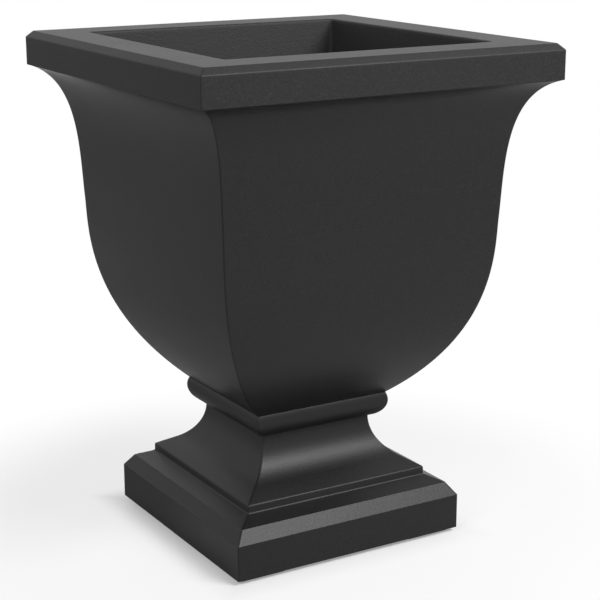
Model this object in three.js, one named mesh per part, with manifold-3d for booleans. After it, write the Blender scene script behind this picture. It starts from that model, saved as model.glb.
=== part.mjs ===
// Square urn planter: a deep square bowl with a flared shoulder and a bevelled collar, on a moulded pedestal.
// The collar and the planting well are one liner, which lifts out of the bowl. The bowl below the liner holds
// water, four wick cups reach down into it, and an overflow tube pulls out of the bowl's floor from beneath.
// Millimetres, +Z up. The origin is on the ground under the middle of the planter, and the planter's
// flat sides face +X, -X, +Y and -Y.

import * as THREE from 'three';
import { mergeVertices } from 'three/addons/utils/BufferGeometryUtils.js';
import Module from 'manifold-3d';

const wasm = await Module();
wasm.setup();

// ---------------------------------------------------------------- driving sizes

// Collar and bowl. Widths are measured across the flats.
const COLLAR_WIDTH = 508;
const COLLAR_HEIGHT = 45.5;
const COLLAR_BEVEL_RUN = 8;
const COLLAR_BEVEL_DROP = 8;
const COLLAR_OVERHANG = 1.5; // the collar's face stands proud of the bowl's lip
const BOWL_HEIGHT = 423.5;
const BOWL_WAIST_WIDTH = 400;
const BOWL_WAIST_HEIGHT = 245.5; // above the bowl's underside
const BOWL_FOOT_SLOPE = 40.5; // degrees from level, where the belly leaves the pedestal
const BOWL_WAIST_LEAN = 3.6; // degrees from upright
const BOWL_LIP_SLOPE = 17; // degrees from level, under the collar
const BOWL_WALL = 5;

// How far each end of the bowl's two curves pulls, as a share of that curve's height.
const BELLY_FOOT_PULL = 0.557;
const BELLY_WAIST_PULL = 0.167;
const FLARE_WAIST_PULL = 0.37;
const FLARE_LIP_PULL = 0.3;

// Liner: the collar, the planting well and its floor
const LINER_WALL = 4;
const LINER_CLEARANCE = 6; // between the well and the bowl, so that the liner lifts out
const WELL_DRAFT = 1; // degrees
const WELL_CORNER_RADIUS = 6;
const OPENING_EDGE_RADIUS = 3;
const COLLAR_FIT_GAP = 0.5; // between the bowl's upstand and the corner inside the collar's bevel
const SHADOW_GAP = 0.3; // under the skirt
const RESERVOIR_DEPTH = 100;
const FLOOR_HOLE_RADIUS = 4;
const FLOOR_HOLE_INSET = 40; // from the edge of the liner's floor
const FLOOR_HOLES_PER_SIDE = 4;

// Pedestal, from the bowl down
const PEDESTAL_WALL = 5;
const BEAD_HEIGHT = 34.5;
const BEAD_WIDTH = 201;
const BEAD_RADIUS = 24;
const NECK_WIDTH = 162;
const SCOTIA_HEIGHT = 67.5; // the hollow curve and the slope below it
const SCOTIA_SLOPE = 30; // degrees from level
const RISER_HEIGHT = 10;
const WASH_RUN = 21.5; // the shallow slope from the riser out to the plinth's bevel
const WASH_RISE = 9.5;
const PLINTH_BEVEL_RUN = 12;
const PLINTH_BEVEL_RISE = 16.5;
const PLINTH_WIDTH = 338;
const PLINTH_FACE_HEIGHT = 47;

// Feet
const PAD_WIDTH = 65;
const PAD_INSET = 9; // from the plinth's faces
const PAD_BEVEL = 1.5;
const PAD_SCREW_WEB = 2; // pad left between the screw's head and the plinth
const PAD_SCREW_RECESS = 1; // from the ground up to the screw's head
const FOOT_SCREW_RADIUS = 2.25;
const FOOT_SCREW_LENGTH = 14;
const FOOT_SCREW_HEAD_RADIUS = 4.5;
const FOOT_SCREW_HEAD_HEIGHT = 3;
const FOOT_SCREW_HEAD_BEVEL = 1;
const FOOT_SCREW_POCKET_RADIUS = 6.5;

// Bolts that hold the bowl down on the pedestal
const BOLT_KEY_ROOM = 14; // between the washers and the inside of the neck
const BOLT_RADIUS = 4;
const BOLT_REACH = 16; // thread above the bowl's underside
const BOLT_HEAD_SIDES = 6;
const BOLT_HEAD_FLATS = 13;
const BOLT_HEAD_HEIGHT = 5.5;
const WASHER_RADIUS = 10;
const WASHER_THICKNESS = 1.5;
const INSERT_RADIUS = 6.5;
const INSERT_HEIGHT = 18;
const BOSS_WALL = 7;

// Overflow tube and its seat in the bowl's floor
const TUBE_RADIUS = 12.5;
const TUBE_WALL = 3;
const TUBE_AIR_GAP = 14; // from the tube's mouth up to the liner's floor
const TUBE_NOTCH_WIDTH = 5;
const TUBE_NOTCH_DEPTH = 7;
const SPIGOT_WALL = 7.5;
const SPIGOT_DROP = 15; // below the bowl's underside
const SPIGOT_RISE = 10; // above the bowl's floor
const SEAL_THICKNESS = 3;
const GRIP_OVERHANG = 3.7; // past the spigot
const GRIP_HEIGHT = 12;
const GRIP_SCALLOPS = 10;
const GRIP_SCALLOP_RADIUS = 4;
const GRIP_BEVEL = 2;

// Wick cups
const CUP_MOUTH_RADIUS = 26; // where the cup passes the liner's floor
const CUP_BASE_RADIUS = 19;
const CUP_WALL = 2.5;
const CUP_FLANGE_WIDTH = 7;
const CUP_FLANGE_THICKNESS = 3;
const CUP_FLOOR_GAP = 14; // from the cup down to the bowl's floor
const CUP_SIDE_GAP = 11; // from the cup's base out to the bowl
const CUP_SLOT_WIDTH = 3.5;
const CUP_SLOT_MARGIN = 14; // left solid above and below the slots
const CUP_SLOT_CUTS = 4; // each cut opens two slots, one on each side
const CUP_DRAIN_RADIUS = 4;

const FIT_GAP = 0.3; // between pieces that slip into each other
const EDGE_RADIUS = 1; // upright corners of the square mouldings
const CUT_MARGIN = 1; // how far a cutter runs past the faces that it opens

// Fineness of the facets
const CORNER_STEPS = 3;
const CURVE_STEPS = 14;
const ROUND_STEPS = 24;
const SMALL_ROUND_STEPS = 16;
const HOLE_STEPS = 8;

// ---------------------------------------------------------------- levels and half widths

const PAD_SCREW_SEAT = PAD_SCREW_RECESS + FOOT_SCREW_HEAD_HEIGHT;
const PAD_HEIGHT = PAD_SCREW_SEAT + PAD_SCREW_WEB;
const PLINTH_BASE = PAD_HEIGHT;
const PLINTH_FACE_TOP = PLINTH_BASE + PLINTH_FACE_HEIGHT;
const WASH_BASE = PLINTH_FACE_TOP + PLINTH_BEVEL_RISE;
const RISER_BASE = WASH_BASE + WASH_RISE;
const RISER_TOP = RISER_BASE + RISER_HEIGHT;
const NECK_TOP = RISER_TOP + SCOTIA_HEIGHT;
const BOWL_BASE = NECK_TOP + BEAD_HEIGHT;
const BOWL_FLOOR = BOWL_BASE + BOWL_WALL;
const WAIST_LEVEL = BOWL_BASE + BOWL_WAIST_HEIGHT;
const LIP_LEVEL = BOWL_BASE + BOWL_HEIGHT;
const COLLAR_TOP = LIP_LEVEL + COLLAR_HEIGHT;
const COLLAR_UNDERSIDE = COLLAR_TOP - LINER_WALL;
const LINER_FLOOR_UNDERSIDE = BOWL_FLOOR + RESERVOIR_DEPTH;
const LINER_FLOOR = LINER_FLOOR_UNDERSIDE + LINER_WALL;
const DECK_UNDERSIDE = BOWL_BASE - PEDESTAL_WALL;
const SPIGOT_BASE = BOWL_BASE - SPIGOT_DROP;
const TUBE_TOP = LINER_FLOOR_UNDERSIDE - TUBE_AIR_GAP;
const CUP_BASE = BOWL_FLOOR + CUP_FLOOR_GAP;

const COLLAR_HALF = COLLAR_WIDTH / 2;
const LIP_HALF = COLLAR_HALF - COLLAR_OVERHANG;
const WAIST_HALF = BOWL_WAIST_WIDTH / 2;
const NECK_HALF = NECK_WIDTH / 2;
const PLINTH_HALF = PLINTH_WIDTH / 2;
const WASH_HALF = PLINTH_HALF - PLINTH_BEVEL_RUN;
const RISER_HALF = WASH_HALF - WASH_RUN;
const PAD_CENTRE = PLINTH_HALF - PAD_INSET - PAD_WIDTH / 2;
const BASE_OPENING_HALF = PLINTH_HALF - PAD_INSET - PAD_WIDTH;
const SPIGOT_RADIUS = TUBE_RADIUS + FIT_GAP + SPIGOT_WALL;
const GRIP_RADIUS = SPIGOT_RADIUS + GRIP_OVERHANG;
const BOLT_PLACE = NECK_HALF - PEDESTAL_WALL - BOLT_KEY_ROOM - WASHER_RADIUS;
const POCKET_RADIUS = INSERT_RADIUS + FIT_GAP;
const POCKET_TOP = BOWL_BASE + INSERT_HEIGHT + FIT_GAP;

const radians = THREE.MathUtils.degToRad;
const degrees = THREE.MathUtils.radToDeg;

// ---------------------------------------------------------------- profiles
// A profile is a list of points in a half section: x is the half width, y is the height.

const at = (x, y) => new THREE.Vector2(x, y);

// A step of some length, at an angle in degrees from level
const along = (angle, length) => at(length * Math.cos(radians(angle)), length * Math.sin(radians(angle)));

// The same line moved sideways by a distance, to the left of the way it runs, with its bends kept sharp.
function beside(profile, distance) {
  const sides = profile.slice(1).map((point, i) => {
    const run = point.clone().sub(profile[i]).normalize();
    return at(-run.y, run.x);
  });
  return profile.map((point, i) => {
    const before = sides[Math.max(i - 1, 0)];
    const after = sides[Math.min(i, sides.length - 1)];
    const middle = before.clone().add(after).normalize();
    return point.clone().addScaledVector(middle, distance / middle.dot(after));
  });
}

// The point where a profile first reaches a value of x or y.
function crossing(profile, axis, value) {
  const offsets = profile.map((point) => point[axis] - value);
  const i = offsets.findIndex((offset, k) => k > 0 && offset * offsets[k - 1] <= 0);
  return profile[i - 1].clone().lerp(profile[i], offsets[i - 1] / (offsets[i - 1] - offsets[i]));
}

// The stretch of a profile from one value of x or y to another, without points crowded at its ends.
function stretch(profile, axis, from, to) {
  const crowding = 1;
  const [low, high] = [Math.min(from, to) + crowding, Math.max(from, to) - crowding];
  const inside = profile.filter((point) => point[axis] > low && point[axis] < high);
  return [crossing(profile, axis, from), ...inside, crossing(profile, axis, to)];
}

// A round stretch about a centre, from one angle to another, in degrees.
function arc(centre, radius, from, to, steps) {
  return Array.from({ length: steps + 1 }, (_, i) => {
    const angle = from + ((to - from) * i) / steps;
    return along(angle, radius).add(centre);
  });
}

// The bead is a round nosing that overhangs the neck. Its upper side is cut off level by the bowl.
function beadProfile() {
  const steepestCut = 70; // degrees round the nosing
  const centreHalf = BEAD_WIDTH / 2 - BEAD_RADIUS;
  const neckReach = Math.min(Math.max(NECK_HALF - centreHalf, 0), BEAD_RADIUS);
  const centre = at(centreHalf, NECK_TOP + Math.sqrt(BEAD_RADIUS ** 2 - neckReach ** 2));
  const topRise = THREE.MathUtils.clamp((BOWL_BASE - centre.y) / BEAD_RADIUS, 0, 1);
  const topAngle = Math.min(degrees(Math.asin(topRise)), steepestCut);
  const neckAngle = -degrees(Math.acos(neckReach / BEAD_RADIUS));
  const nosing = arc(centre, BEAD_RADIUS, topAngle, neckAngle, CURVE_STEPS);
  nosing[0].y = BOWL_BASE;
  return nosing;
}

const BOWL_FOOT_HALF = beadProfile()[0].x;

// The collar's outside, from its bevel down to the skirt's lower edge, and the same line one wall further in
const COLLAR_FACE = [
  at(COLLAR_HALF - COLLAR_BEVEL_RUN, COLLAR_TOP),
  at(COLLAR_HALF, COLLAR_TOP - COLLAR_BEVEL_DROP),
  at(COLLAR_HALF, LIP_LEVEL + SHADOW_GAP),
];

function collarInside() {
  const inside = beside(COLLAR_FACE, -LINER_WALL);
  return [crossing(inside, 'y', COLLAR_UNDERSIDE), ...inside.slice(1)];
}

// The bowl's lip carries an upstand inside the collar, and the collar rests on its upper edge.
const UPSTAND_HALF = collarInside()[0].x - COLLAR_FIT_GAP;

// The bowl's outside, from its foot up: a belly that stands up to the waist, then a flare out to the lip.
function bellyCurve() {
  const foot = at(BOWL_FOOT_HALF, BOWL_BASE);
  const waist = at(WAIST_HALF, WAIST_LEVEL);
  const footPull = along(BOWL_FOOT_SLOPE, BELLY_FOOT_PULL * BOWL_WAIST_HEIGHT);
  const waistPull = along(90 - BOWL_WAIST_LEAN, BELLY_WAIST_PULL * BOWL_WAIST_HEIGHT);
  return new THREE.CubicBezierCurve(foot, foot.clone().add(footPull), waist.clone().sub(waistPull), waist);
}

function flareCurve() {
  const waist = at(WAIST_HALF, WAIST_LEVEL);
  const lip = at(LIP_HALF, LIP_LEVEL);
  const height = BOWL_HEIGHT - BOWL_WAIST_HEIGHT;
  const waistPull = along(90 - BOWL_WAIST_LEAN, FLARE_WAIST_PULL * height);
  const lipPull = along(BOWL_LIP_SLOPE, FLARE_LIP_PULL * height);
  return new THREE.CubicBezierCurve(waist, waist.clone().add(waistPull), lip.clone().sub(lipPull), lip);
}

const BELLY = bellyCurve().getPoints(CURVE_STEPS);
const FLARE = flareCurve().getPoints(CURVE_STEPS);

// The hollow curve of the pedestal, from the neck down: a round sweep that runs out into a straight slope.
function scotiaProfile() {
  const [run, drop] = [RISER_HALF - NECK_HALF, SCOTIA_HEIGHT];
  const [sin, cos] = [Math.sin(radians(SCOTIA_SLOPE)), Math.cos(radians(SCOTIA_SLOPE))];
  const fullRadius = (drop * cos - run * sin) / (1 - sin);
  const radius = Math.min(fullRadius, run / (1 - sin));
  const slopeLength = (run - radius * (1 - sin)) / cos;
  const sweepTop = RISER_TOP + slopeLength * sin + radius * cos;
  const sweep = arc(at(NECK_HALF + radius, sweepTop), radius, 180, 270 - SCOTIA_SLOPE, CURVE_STEPS);
  sweep[0].y = NECK_TOP;
  return [...sweep, at(RISER_HALF, RISER_TOP)];
}

function pedestalOutside() {
  return [
    ...beadProfile().slice(0, -1),
    ...scotiaProfile(),
    at(RISER_HALF, RISER_BASE),
    at(WASH_HALF, WASH_BASE),
    at(PLINTH_HALF, PLINTH_FACE_TOP),
    at(PLINTH_HALF, PLINTH_BASE),
  ];
}

// ---------------------------------------------------------------- solids

// A square tube or tray through a profile. The profile starts on the side that faces up in the middle,
// goes out and round, and ends on the side that faces down in the middle. A flat face closes each end.
function squareLoft(profile, cornerRadius = () => EDGE_RADIUS) {
  const positions = [];
  const index = [];
  const perRing = 4 * (CORNER_STEPS + 1);
  profile.forEach((point, i) => {
    const radius = Math.min(cornerRadius(i), point.x / 2);
    for (let quarter = 0; quarter < 4; quarter += 1) {
      const turn = (quarter * Math.PI) / 2;
      const centre = at(point.x - radius, point.x - radius).rotateAround(at(0, 0), turn);
      for (let step = 0; step <= CORNER_STEPS; step += 1) {
        const angle = turn + (step / CORNER_STEPS) * (Math.PI / 2);
        positions.push(centre.x + radius * Math.cos(angle), centre.y + radius * Math.sin(angle), point.y);
      }
    }
  });
  for (let ring = 0; ring < profile.length - 1; ring += 1) {
    for (let k = 0; k < perRing; k += 1) {
      const next = (k + 1) % perRing;
      const [a, b] = [ring * perRing + k, ring * perRing + next];
      const [d, c] = [a + perRing, b + perRing];
      index.push(a, d, b, b, d, c);
    }
  }
  const [firstCentre, lastCentre] = [positions.length / 3, positions.length / 3 + 1];
  const lastRing = (profile.length - 1) * perRing;
  positions.push(0, 0, profile[0].y, 0, 0, profile.at(-1).y);
  for (let k = 0; k < perRing; k += 1) {
    const next = (k + 1) % perRing;
    index.push(firstCentre, k, next, lastCentre, lastRing + next, lastRing + k);
  }
  const geometry = new THREE.BufferGeometry();
  geometry.setAttribute('position', new THREE.Float32BufferAttribute(positions, 3));
  geometry.setIndex(index);
  geometry.computeVertexNormals();
  return geometry;
}

// A turned shape about the Z axis. Its outline runs from the bottom of the axis out, up and back to the axis,
// or once round, anticlockwise, where the shape has a bore.
function turned(outline, steps = ROUND_STEPS) {
  return new THREE.LatheGeometry(outline, steps).rotateX(Math.PI / 2);
}

const rod = (radius, bottom, top, steps) =>
  turned([at(0, bottom), at(radius, bottom), at(radius, top), at(0, top)], steps);

function ring(boreRadius, radius, bottom, top, steps) {
  const outline = [at(boreRadius, bottom), at(radius, bottom), at(radius, top), at(boreRadius, top)];
  return turned([...outline, outline[0]], steps);
}

const rodsAt = (places, radius, bottom, top, steps) =>
  places.map(([x, y]) => rod(radius, bottom, top, steps).translate(x, y, 0));

function toSolid(geometry) {
  const bare = geometry.clone();
  bare.deleteAttribute('normal');
  bare.deleteAttribute('uv');
  const merged = mergeVertices(bare, 1e-4);
  const corners = merged.index.array;
  const kept = [];
  for (let i = 0; i < corners.length; i += 3) {
    const [a, b, c] = corners.slice(i, i + 3);
    if (a !== b && b !== c && c !== a) kept.push(a, b, c);
  }
  const vertProperties = merged.attributes.position.array;
  return new wasm.Manifold(new wasm.Mesh({ numProp: 3, vertProperties, triVerts: new Uint32Array(kept) }));
}

function toGeometry(solid) {
  const { vertProperties, triVerts } = solid.getMesh();
  const geometry = new THREE.BufferGeometry();
  geometry.setAttribute('position', new THREE.BufferAttribute(vertProperties, 3));
  geometry.setIndex(new THREE.BufferAttribute(triVerts, 1));
  geometry.computeVertexNormals();
  return geometry;
}

function join(base, ...added) {
  return toGeometry(added.reduce((sum, piece) => sum.add(toSolid(piece)), toSolid(base)));
}

function cut(base, ...taken) {
  return toGeometry(taken.reduce((rest, piece) => rest.subtract(toSolid(piece)), toSolid(base)));
}

// The four places round the axis that a repeated piece takes, on the corners of a square or on its sides.
const onCorners = (half) => [[-half, -half], [half, -half], [half, half], [-half, half]];
const onSides = (half) => [[0, -half], [half, 0], [0, half], [-half, 0]];

// ---------------------------------------------------------------- the mouldings

// The bowl's inner skin and the two skins of the well all run beside the belly.
const BOWL_INSIDE = beside([...BELLY, ...FLARE.slice(1)], BOWL_WALL);
const WELL_OUTSIDE = beside(BELLY, BOWL_WALL + LINER_CLEARANCE);
const WELL_INSIDE = beside(BELLY, BOWL_WALL + LINER_CLEARANCE + LINER_WALL);

const CUP_PLACE = crossing(BOWL_INSIDE, 'y', CUP_BASE).x - CUP_SIDE_GAP - CUP_BASE_RADIUS;

// Holes in a square row round the edge of the liner's floor
function floorHolePlaces() {
  const reach = crossing(WELL_INSIDE, 'y', LINER_FLOOR).x - FLOOR_HOLE_INSET;
  const pitch = (2 * reach) / FLOOR_HOLES_PER_SIDE;
  const steps = Array.from({ length: FLOOR_HOLES_PER_SIDE }, (_, i) => i * pitch - reach);
  return steps.flatMap((step) => [[step, -reach], [reach, step], [-step, reach], [-reach, -step]]);
}

function plantingLiner() {
  const [innerWaist, outerWaist] = [WELL_INSIDE.at(-1), WELL_OUTSIDE.at(-1)];
  const wellTop = COLLAR_TOP - OPENING_EDGE_RADIUS;
  const widening = Math.tan(radians(WELL_DRAFT));
  const wellHalf = innerWaist.x + (wellTop - innerWaist.y) * widening;
  const edgeCentre = at(wellHalf + OPENING_EDGE_RADIUS, wellTop);
  const insideWell = [
    ...stretch(WELL_INSIDE, 'y', LINER_FLOOR, innerWaist.y),
    ...arc(edgeCentre, OPENING_EDGE_RADIUS, 180, 90, CORNER_STEPS),
  ];
  const collar = [...COLLAR_FACE, ...collarInside().reverse()];
  const outsideWell = [
    at(outerWaist.x + (COLLAR_UNDERSIDE - outerWaist.y) * widening, COLLAR_UNDERSIDE),
    ...stretch(WELL_OUTSIDE, 'y', LINER_FLOOR_UNDERSIDE, outerWaist.y).reverse(),
  ];
  const collarEnd = insideWell.length + collar.length;
  const cornerRadius = (i) => {
    if (i < insideWell.length) return WELL_CORNER_RADIUS;
    return i < collarEnd ? EDGE_RADIUS : WELL_CORNER_RADIUS + LINER_WALL;
  };
  const tray = squareLoft([...insideWell, ...collar, ...outsideWell], cornerRadius);
  const floor = [LINER_FLOOR_UNDERSIDE - CUT_MARGIN, LINER_FLOOR + CUT_MARGIN];
  const cupHoles = rodsAt(onSides(CUP_PLACE), CUP_MOUTH_RADIUS + FIT_GAP, ...floor, ROUND_STEPS);
  const floorHoles = rodsAt(floorHolePlaces(), FLOOR_HOLE_RADIUS, ...floor, HOLE_STEPS);
  return cut(tray, ...cupHoles, ...floorHoles);
}

function outerBowl() {
  const upstandInside = UPSTAND_HALF - BOWL_WALL;
  const floorEdge = crossing(BOWL_INSIDE, 'y', BOWL_FLOOR);
  const shell = squareLoft([
    ...stretch(BOWL_INSIDE, 'x', floorEdge.x, upstandInside),
    at(upstandInside, COLLAR_UNDERSIDE),
    at(UPSTAND_HALF, COLLAR_UNDERSIDE),
    at(UPSTAND_HALF, LIP_LEVEL),
    ...FLARE.slice(1).reverse(),
    ...BELLY.slice().reverse(),
  ]);
  const places = onCorners(BOLT_PLACE);
  const boss = [BOWL_BASE, POCKET_TOP + BOSS_WALL];
  const bosses = rodsAt(places, POCKET_RADIUS + BOSS_WALL, ...boss, SMALL_ROUND_STEPS);
  const pockets = rodsAt(places, POCKET_RADIUS, BOWL_BASE - CUT_MARGIN, POCKET_TOP, SMALL_ROUND_STEPS);
  const spigotTop = BOWL_FLOOR + SPIGOT_RISE;
  const spigot = rod(SPIGOT_RADIUS, SPIGOT_BASE, spigotTop);
  const bore = rod(TUBE_RADIUS + FIT_GAP, SPIGOT_BASE - CUT_MARGIN, spigotTop + CUT_MARGIN);
  return cut(join(shell, ...bosses, spigot), ...pockets, bore);
}

function pedestal() {
  const outside = pedestalOutside();
  const inside = beside(outside, -PEDESTAL_WALL);
  const flangeTop = PLINTH_BASE + PEDESTAL_WALL;
  const shell = squareLoft([
    ...outside,
    at(BASE_OPENING_HALF, PLINTH_BASE),
    at(BASE_OPENING_HALF, flangeTop),
    ...stretch(inside, 'y', DECK_UNDERSIDE, flangeTop).reverse(),
  ]);
  const deck = [DECK_UNDERSIDE - CUT_MARGIN, BOWL_BASE + CUT_MARGIN];
  const flange = [PLINTH_BASE - CUT_MARGIN, flangeTop + CUT_MARGIN];
  const boltHoles = rodsAt(onCorners(BOLT_PLACE), BOLT_RADIUS + 2 * FIT_GAP, ...deck, SMALL_ROUND_STEPS);
  const spigotHole = rod(SPIGOT_RADIUS + FIT_GAP, ...deck);
  const screwHoles = rodsAt(onCorners(PAD_CENTRE), FOOT_SCREW_RADIUS + FIT_GAP, ...flange, HOLE_STEPS);
  return cut(shell, ...boltHoles, spigotHole, ...screwHoles);
}

// ---------------------------------------------------------------- small pieces
// Each is drawn about its own axis and placed by the group below.

function wickCup() {
  const height = LINER_FLOOR - CUP_BASE;
  const innerBase = CUP_BASE_RADIUS - CUP_WALL;
  const innerMouth = CUP_MOUTH_RADIUS - CUP_WALL;
  const flangeRadius = CUP_MOUTH_RADIUS + CUP_FLANGE_WIDTH;
  const cup = turned([
    at(0, 0),
    at(CUP_BASE_RADIUS, 0),
    at(CUP_MOUTH_RADIUS, height),
    at(flangeRadius, height),
    at(flangeRadius, height + CUP_FLANGE_THICKNESS),
    at(innerMouth, height + CUP_FLANGE_THICKNESS),
    at(innerBase, CUP_WALL),
    at(0, CUP_WALL),
  ], ROUND_STEPS);
  const slotHeight = height - LINER_WALL - 2 * CUP_SLOT_MARGIN;
  const slots = Array.from({ length: CUP_SLOT_CUTS }, (_, i) =>
    new THREE.BoxGeometry(2 * flangeRadius, CUP_SLOT_WIDTH, slotHeight)
      .translate(0, 0, CUP_SLOT_MARGIN + slotHeight / 2)
      .rotateZ((i * Math.PI) / CUP_SLOT_CUTS));
  const drain = rod(CUP_DRAIN_RADIUS, -CUT_MARGIN, CUP_WALL + CUT_MARGIN, HOLE_STEPS);
  return cut(cup, ...slots, drain);
}

// The tube's origin is at the lower edge of the spigot.
function overflowTube() {
  const mouth = TUBE_TOP - SPIGOT_BASE;
  const gripTop = -SEAL_THICKNESS;
  const gripBase = gripTop - GRIP_HEIGHT;
  const bore = TUBE_RADIUS - TUBE_WALL;
  const outline = [
    at(bore, gripBase),
    at(GRIP_RADIUS - GRIP_BEVEL, gripBase),
    at(GRIP_RADIUS, gripBase + GRIP_BEVEL),
    at(GRIP_RADIUS, gripTop),
    at(TUBE_RADIUS, gripTop),
    at(TUBE_RADIUS, mouth),
    at(bore, mouth),
  ];
  const scallops = Array.from({ length: GRIP_SCALLOPS }, (_, i) =>
    rod(GRIP_SCALLOP_RADIUS, gripBase - CUT_MARGIN, gripTop + CUT_MARGIN, HOLE_STEPS)
      .translate(GRIP_RADIUS + GRIP_SCALLOP_RADIUS / 2, 0, 0)
      .rotateZ((2 * Math.PI * i) / GRIP_SCALLOPS));
  const notches = [0, Math.PI / 2].map((turn) =>
    new THREE.BoxGeometry(2 * GRIP_RADIUS, TUBE_NOTCH_WIDTH, 2 * TUBE_NOTCH_DEPTH)
      .translate(0, 0, mouth)
      .rotateZ(turn));
  return cut(turned([...outline, outline[0]]), ...scallops, ...notches);
}

const tubeSeal = () => ring(TUBE_RADIUS + FIT_GAP, SPIGOT_RADIUS, -SEAL_THICKNESS, 0, ROUND_STEPS);

const threadedInsert = () => ring(BOLT_RADIUS + FIT_GAP, INSERT_RADIUS, 0, INSERT_HEIGHT, SMALL_ROUND_STEPS);

// The bolt's origin is where its washer meets the pedestal's deck.
function pedestalBolt() {
  const headTop = -WASHER_THICKNESS;
  const headRadius = BOLT_HEAD_FLATS / 2 / Math.cos(Math.PI / BOLT_HEAD_SIDES);
  const head = rod(headRadius, headTop - BOLT_HEAD_HEIGHT, headTop, BOLT_HEAD_SIDES);
  const shankBase = headTop - BOLT_HEAD_HEIGHT / 2;
  const shank = rod(BOLT_RADIUS, shankBase, PEDESTAL_WALL + BOLT_REACH, SMALL_ROUND_STEPS);
  return join(head, shank);
}

const boltWasher = () =>
  ring(BOLT_RADIUS + FIT_GAP, WASHER_RADIUS, -WASHER_THICKNESS, 0, SMALL_ROUND_STEPS);

function footPad() {
  const pad = squareLoft([
    at(PAD_WIDTH / 2, PAD_HEIGHT),
    at(PAD_WIDTH / 2, PAD_BEVEL),
    at(PAD_WIDTH / 2 - PAD_BEVEL, 0),
  ]);
  const pocket = rod(FOOT_SCREW_POCKET_RADIUS, -CUT_MARGIN, PAD_SCREW_SEAT, SMALL_ROUND_STEPS);
  const hole = rod(FOOT_SCREW_RADIUS + FIT_GAP, -CUT_MARGIN, PAD_HEIGHT + CUT_MARGIN, HOLE_STEPS);
  return cut(pad, pocket, hole);
}

// The screw's origin is at the seat of its head.
const footScrew = () => turned([
  at(0, -FOOT_SCREW_HEAD_HEIGHT),
  at(FOOT_SCREW_HEAD_RADIUS - FOOT_SCREW_HEAD_BEVEL, -FOOT_SCREW_HEAD_HEIGHT),
  at(FOOT_SCREW_HEAD_RADIUS, FOOT_SCREW_HEAD_BEVEL - FOOT_SCREW_HEAD_HEIGHT),
  at(FOOT_SCREW_HEAD_RADIUS, 0),
  at(FOOT_SCREW_RADIUS, 0),
  at(FOOT_SCREW_RADIUS, FOOT_SCREW_LENGTH - FOOT_SCREW_RADIUS),
  at(0, FOOT_SCREW_LENGTH),
], SMALL_ROUND_STEPS);

// ---------------------------------------------------------------- materials and assembly

const finish = (color, roughness, metalness = 0) =>
  new THREE.MeshStandardMaterial({ color, roughness, metalness });
const CHARCOAL_MOULDING = finish(0x2b2b2d, 0.55);
const BLACK_CUP = finish(0x1d1d1e, 0.5);
const BLACK_RUBBER = finish(0x121212, 0.85);
const STAINLESS = finish(0xb6b8ba, 0.35, 1);
const BRASS = finish(0xb08d4a, 0.4, 1);

const planter = new THREE.Group();

function add(name, geometry, material, x = 0, y = 0, z = 0) {
  const piece = new THREE.Mesh(geometry, material);
  piece.name = name;
  piece.position.set(x, y, z);
  planter.add(piece);
}

function addFour(name, geometry, material, places, z) {
  places.forEach(([x, y], i) => add(`${name}_${i + 1}`, geometry, material, x, y, z));
}

add('planting_liner', plantingLiner(), CHARCOAL_MOULDING);
add('outer_bowl', outerBowl(), CHARCOAL_MOULDING);
add('pedestal', pedestal(), CHARCOAL_MOULDING);
addFour('wick_cup', wickCup(), BLACK_CUP, onSides(CUP_PLACE), CUP_BASE);
add('overflow_tube', overflowTube(), BLACK_CUP, 0, 0, SPIGOT_BASE);
add('tube_seal', tubeSeal(), BLACK_RUBBER, 0, 0, SPIGOT_BASE);
addFour('threaded_insert', threadedInsert(), BRASS, onCorners(BOLT_PLACE), BOWL_BASE);
addFour('pedestal_bolt', pedestalBolt(), STAINLESS, onCorners(BOLT_PLACE), DECK_UNDERSIDE);
addFour('bolt_washer', boltWasher(), STAINLESS, onCorners(BOLT_PLACE), DECK_UNDERSIDE);
addFour('foot_pad', footPad(), BLACK_RUBBER, onCorners(PAD_CENTRE), 0);
addFour('foot_screw', footScrew(), STAINLESS, onCorners(PAD_CENTRE), PAD_SCREW_SEAT);

export default planter;
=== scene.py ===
"""The look of the square urn planter: its mouldings, fittings and finishes, and a pale studio round it.

Each operator makes one piece, or one group of like pieces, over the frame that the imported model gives.
Metres, +Z up. The planter's flat sides face +X, -X, +Y and -Y, and it stands on the floor at z = 0.
"""

import math

import bpy
from bpy.props import FloatProperty, FloatVectorProperty, IntProperty, PointerProperty
from mathutils import Euler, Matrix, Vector


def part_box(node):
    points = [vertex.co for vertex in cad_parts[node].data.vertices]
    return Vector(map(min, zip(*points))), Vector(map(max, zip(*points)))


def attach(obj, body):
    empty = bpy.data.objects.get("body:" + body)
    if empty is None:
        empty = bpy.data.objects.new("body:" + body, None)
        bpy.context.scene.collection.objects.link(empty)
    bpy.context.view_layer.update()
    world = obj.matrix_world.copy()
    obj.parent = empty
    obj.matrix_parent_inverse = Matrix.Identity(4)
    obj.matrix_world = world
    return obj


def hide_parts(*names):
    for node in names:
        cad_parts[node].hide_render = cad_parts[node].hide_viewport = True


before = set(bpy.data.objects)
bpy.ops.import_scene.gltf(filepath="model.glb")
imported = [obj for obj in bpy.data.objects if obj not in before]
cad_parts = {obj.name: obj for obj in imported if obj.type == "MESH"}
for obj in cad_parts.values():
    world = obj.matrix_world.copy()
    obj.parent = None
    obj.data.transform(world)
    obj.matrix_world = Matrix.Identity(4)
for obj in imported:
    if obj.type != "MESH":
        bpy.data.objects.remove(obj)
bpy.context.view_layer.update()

bl_info = {
    "name": "Square Urn Planter",
    "version": (1, 0, 0),
    "blender": (4, 5, 0),
    "location": "View3D > Sidebar > Planter",
    "description": "Builds a square urn planter with a lift-out liner, and a pale studio round it",
    "category": "Add Mesh",
}

MM = 0.001
MERGE_GAP = 2e-6
SHARPEST_SMOOTH_BEND = math.radians(38)
WHITE = (1, 1, 1, 1)


# ---------------------------------------------------------------------------- settings


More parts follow.
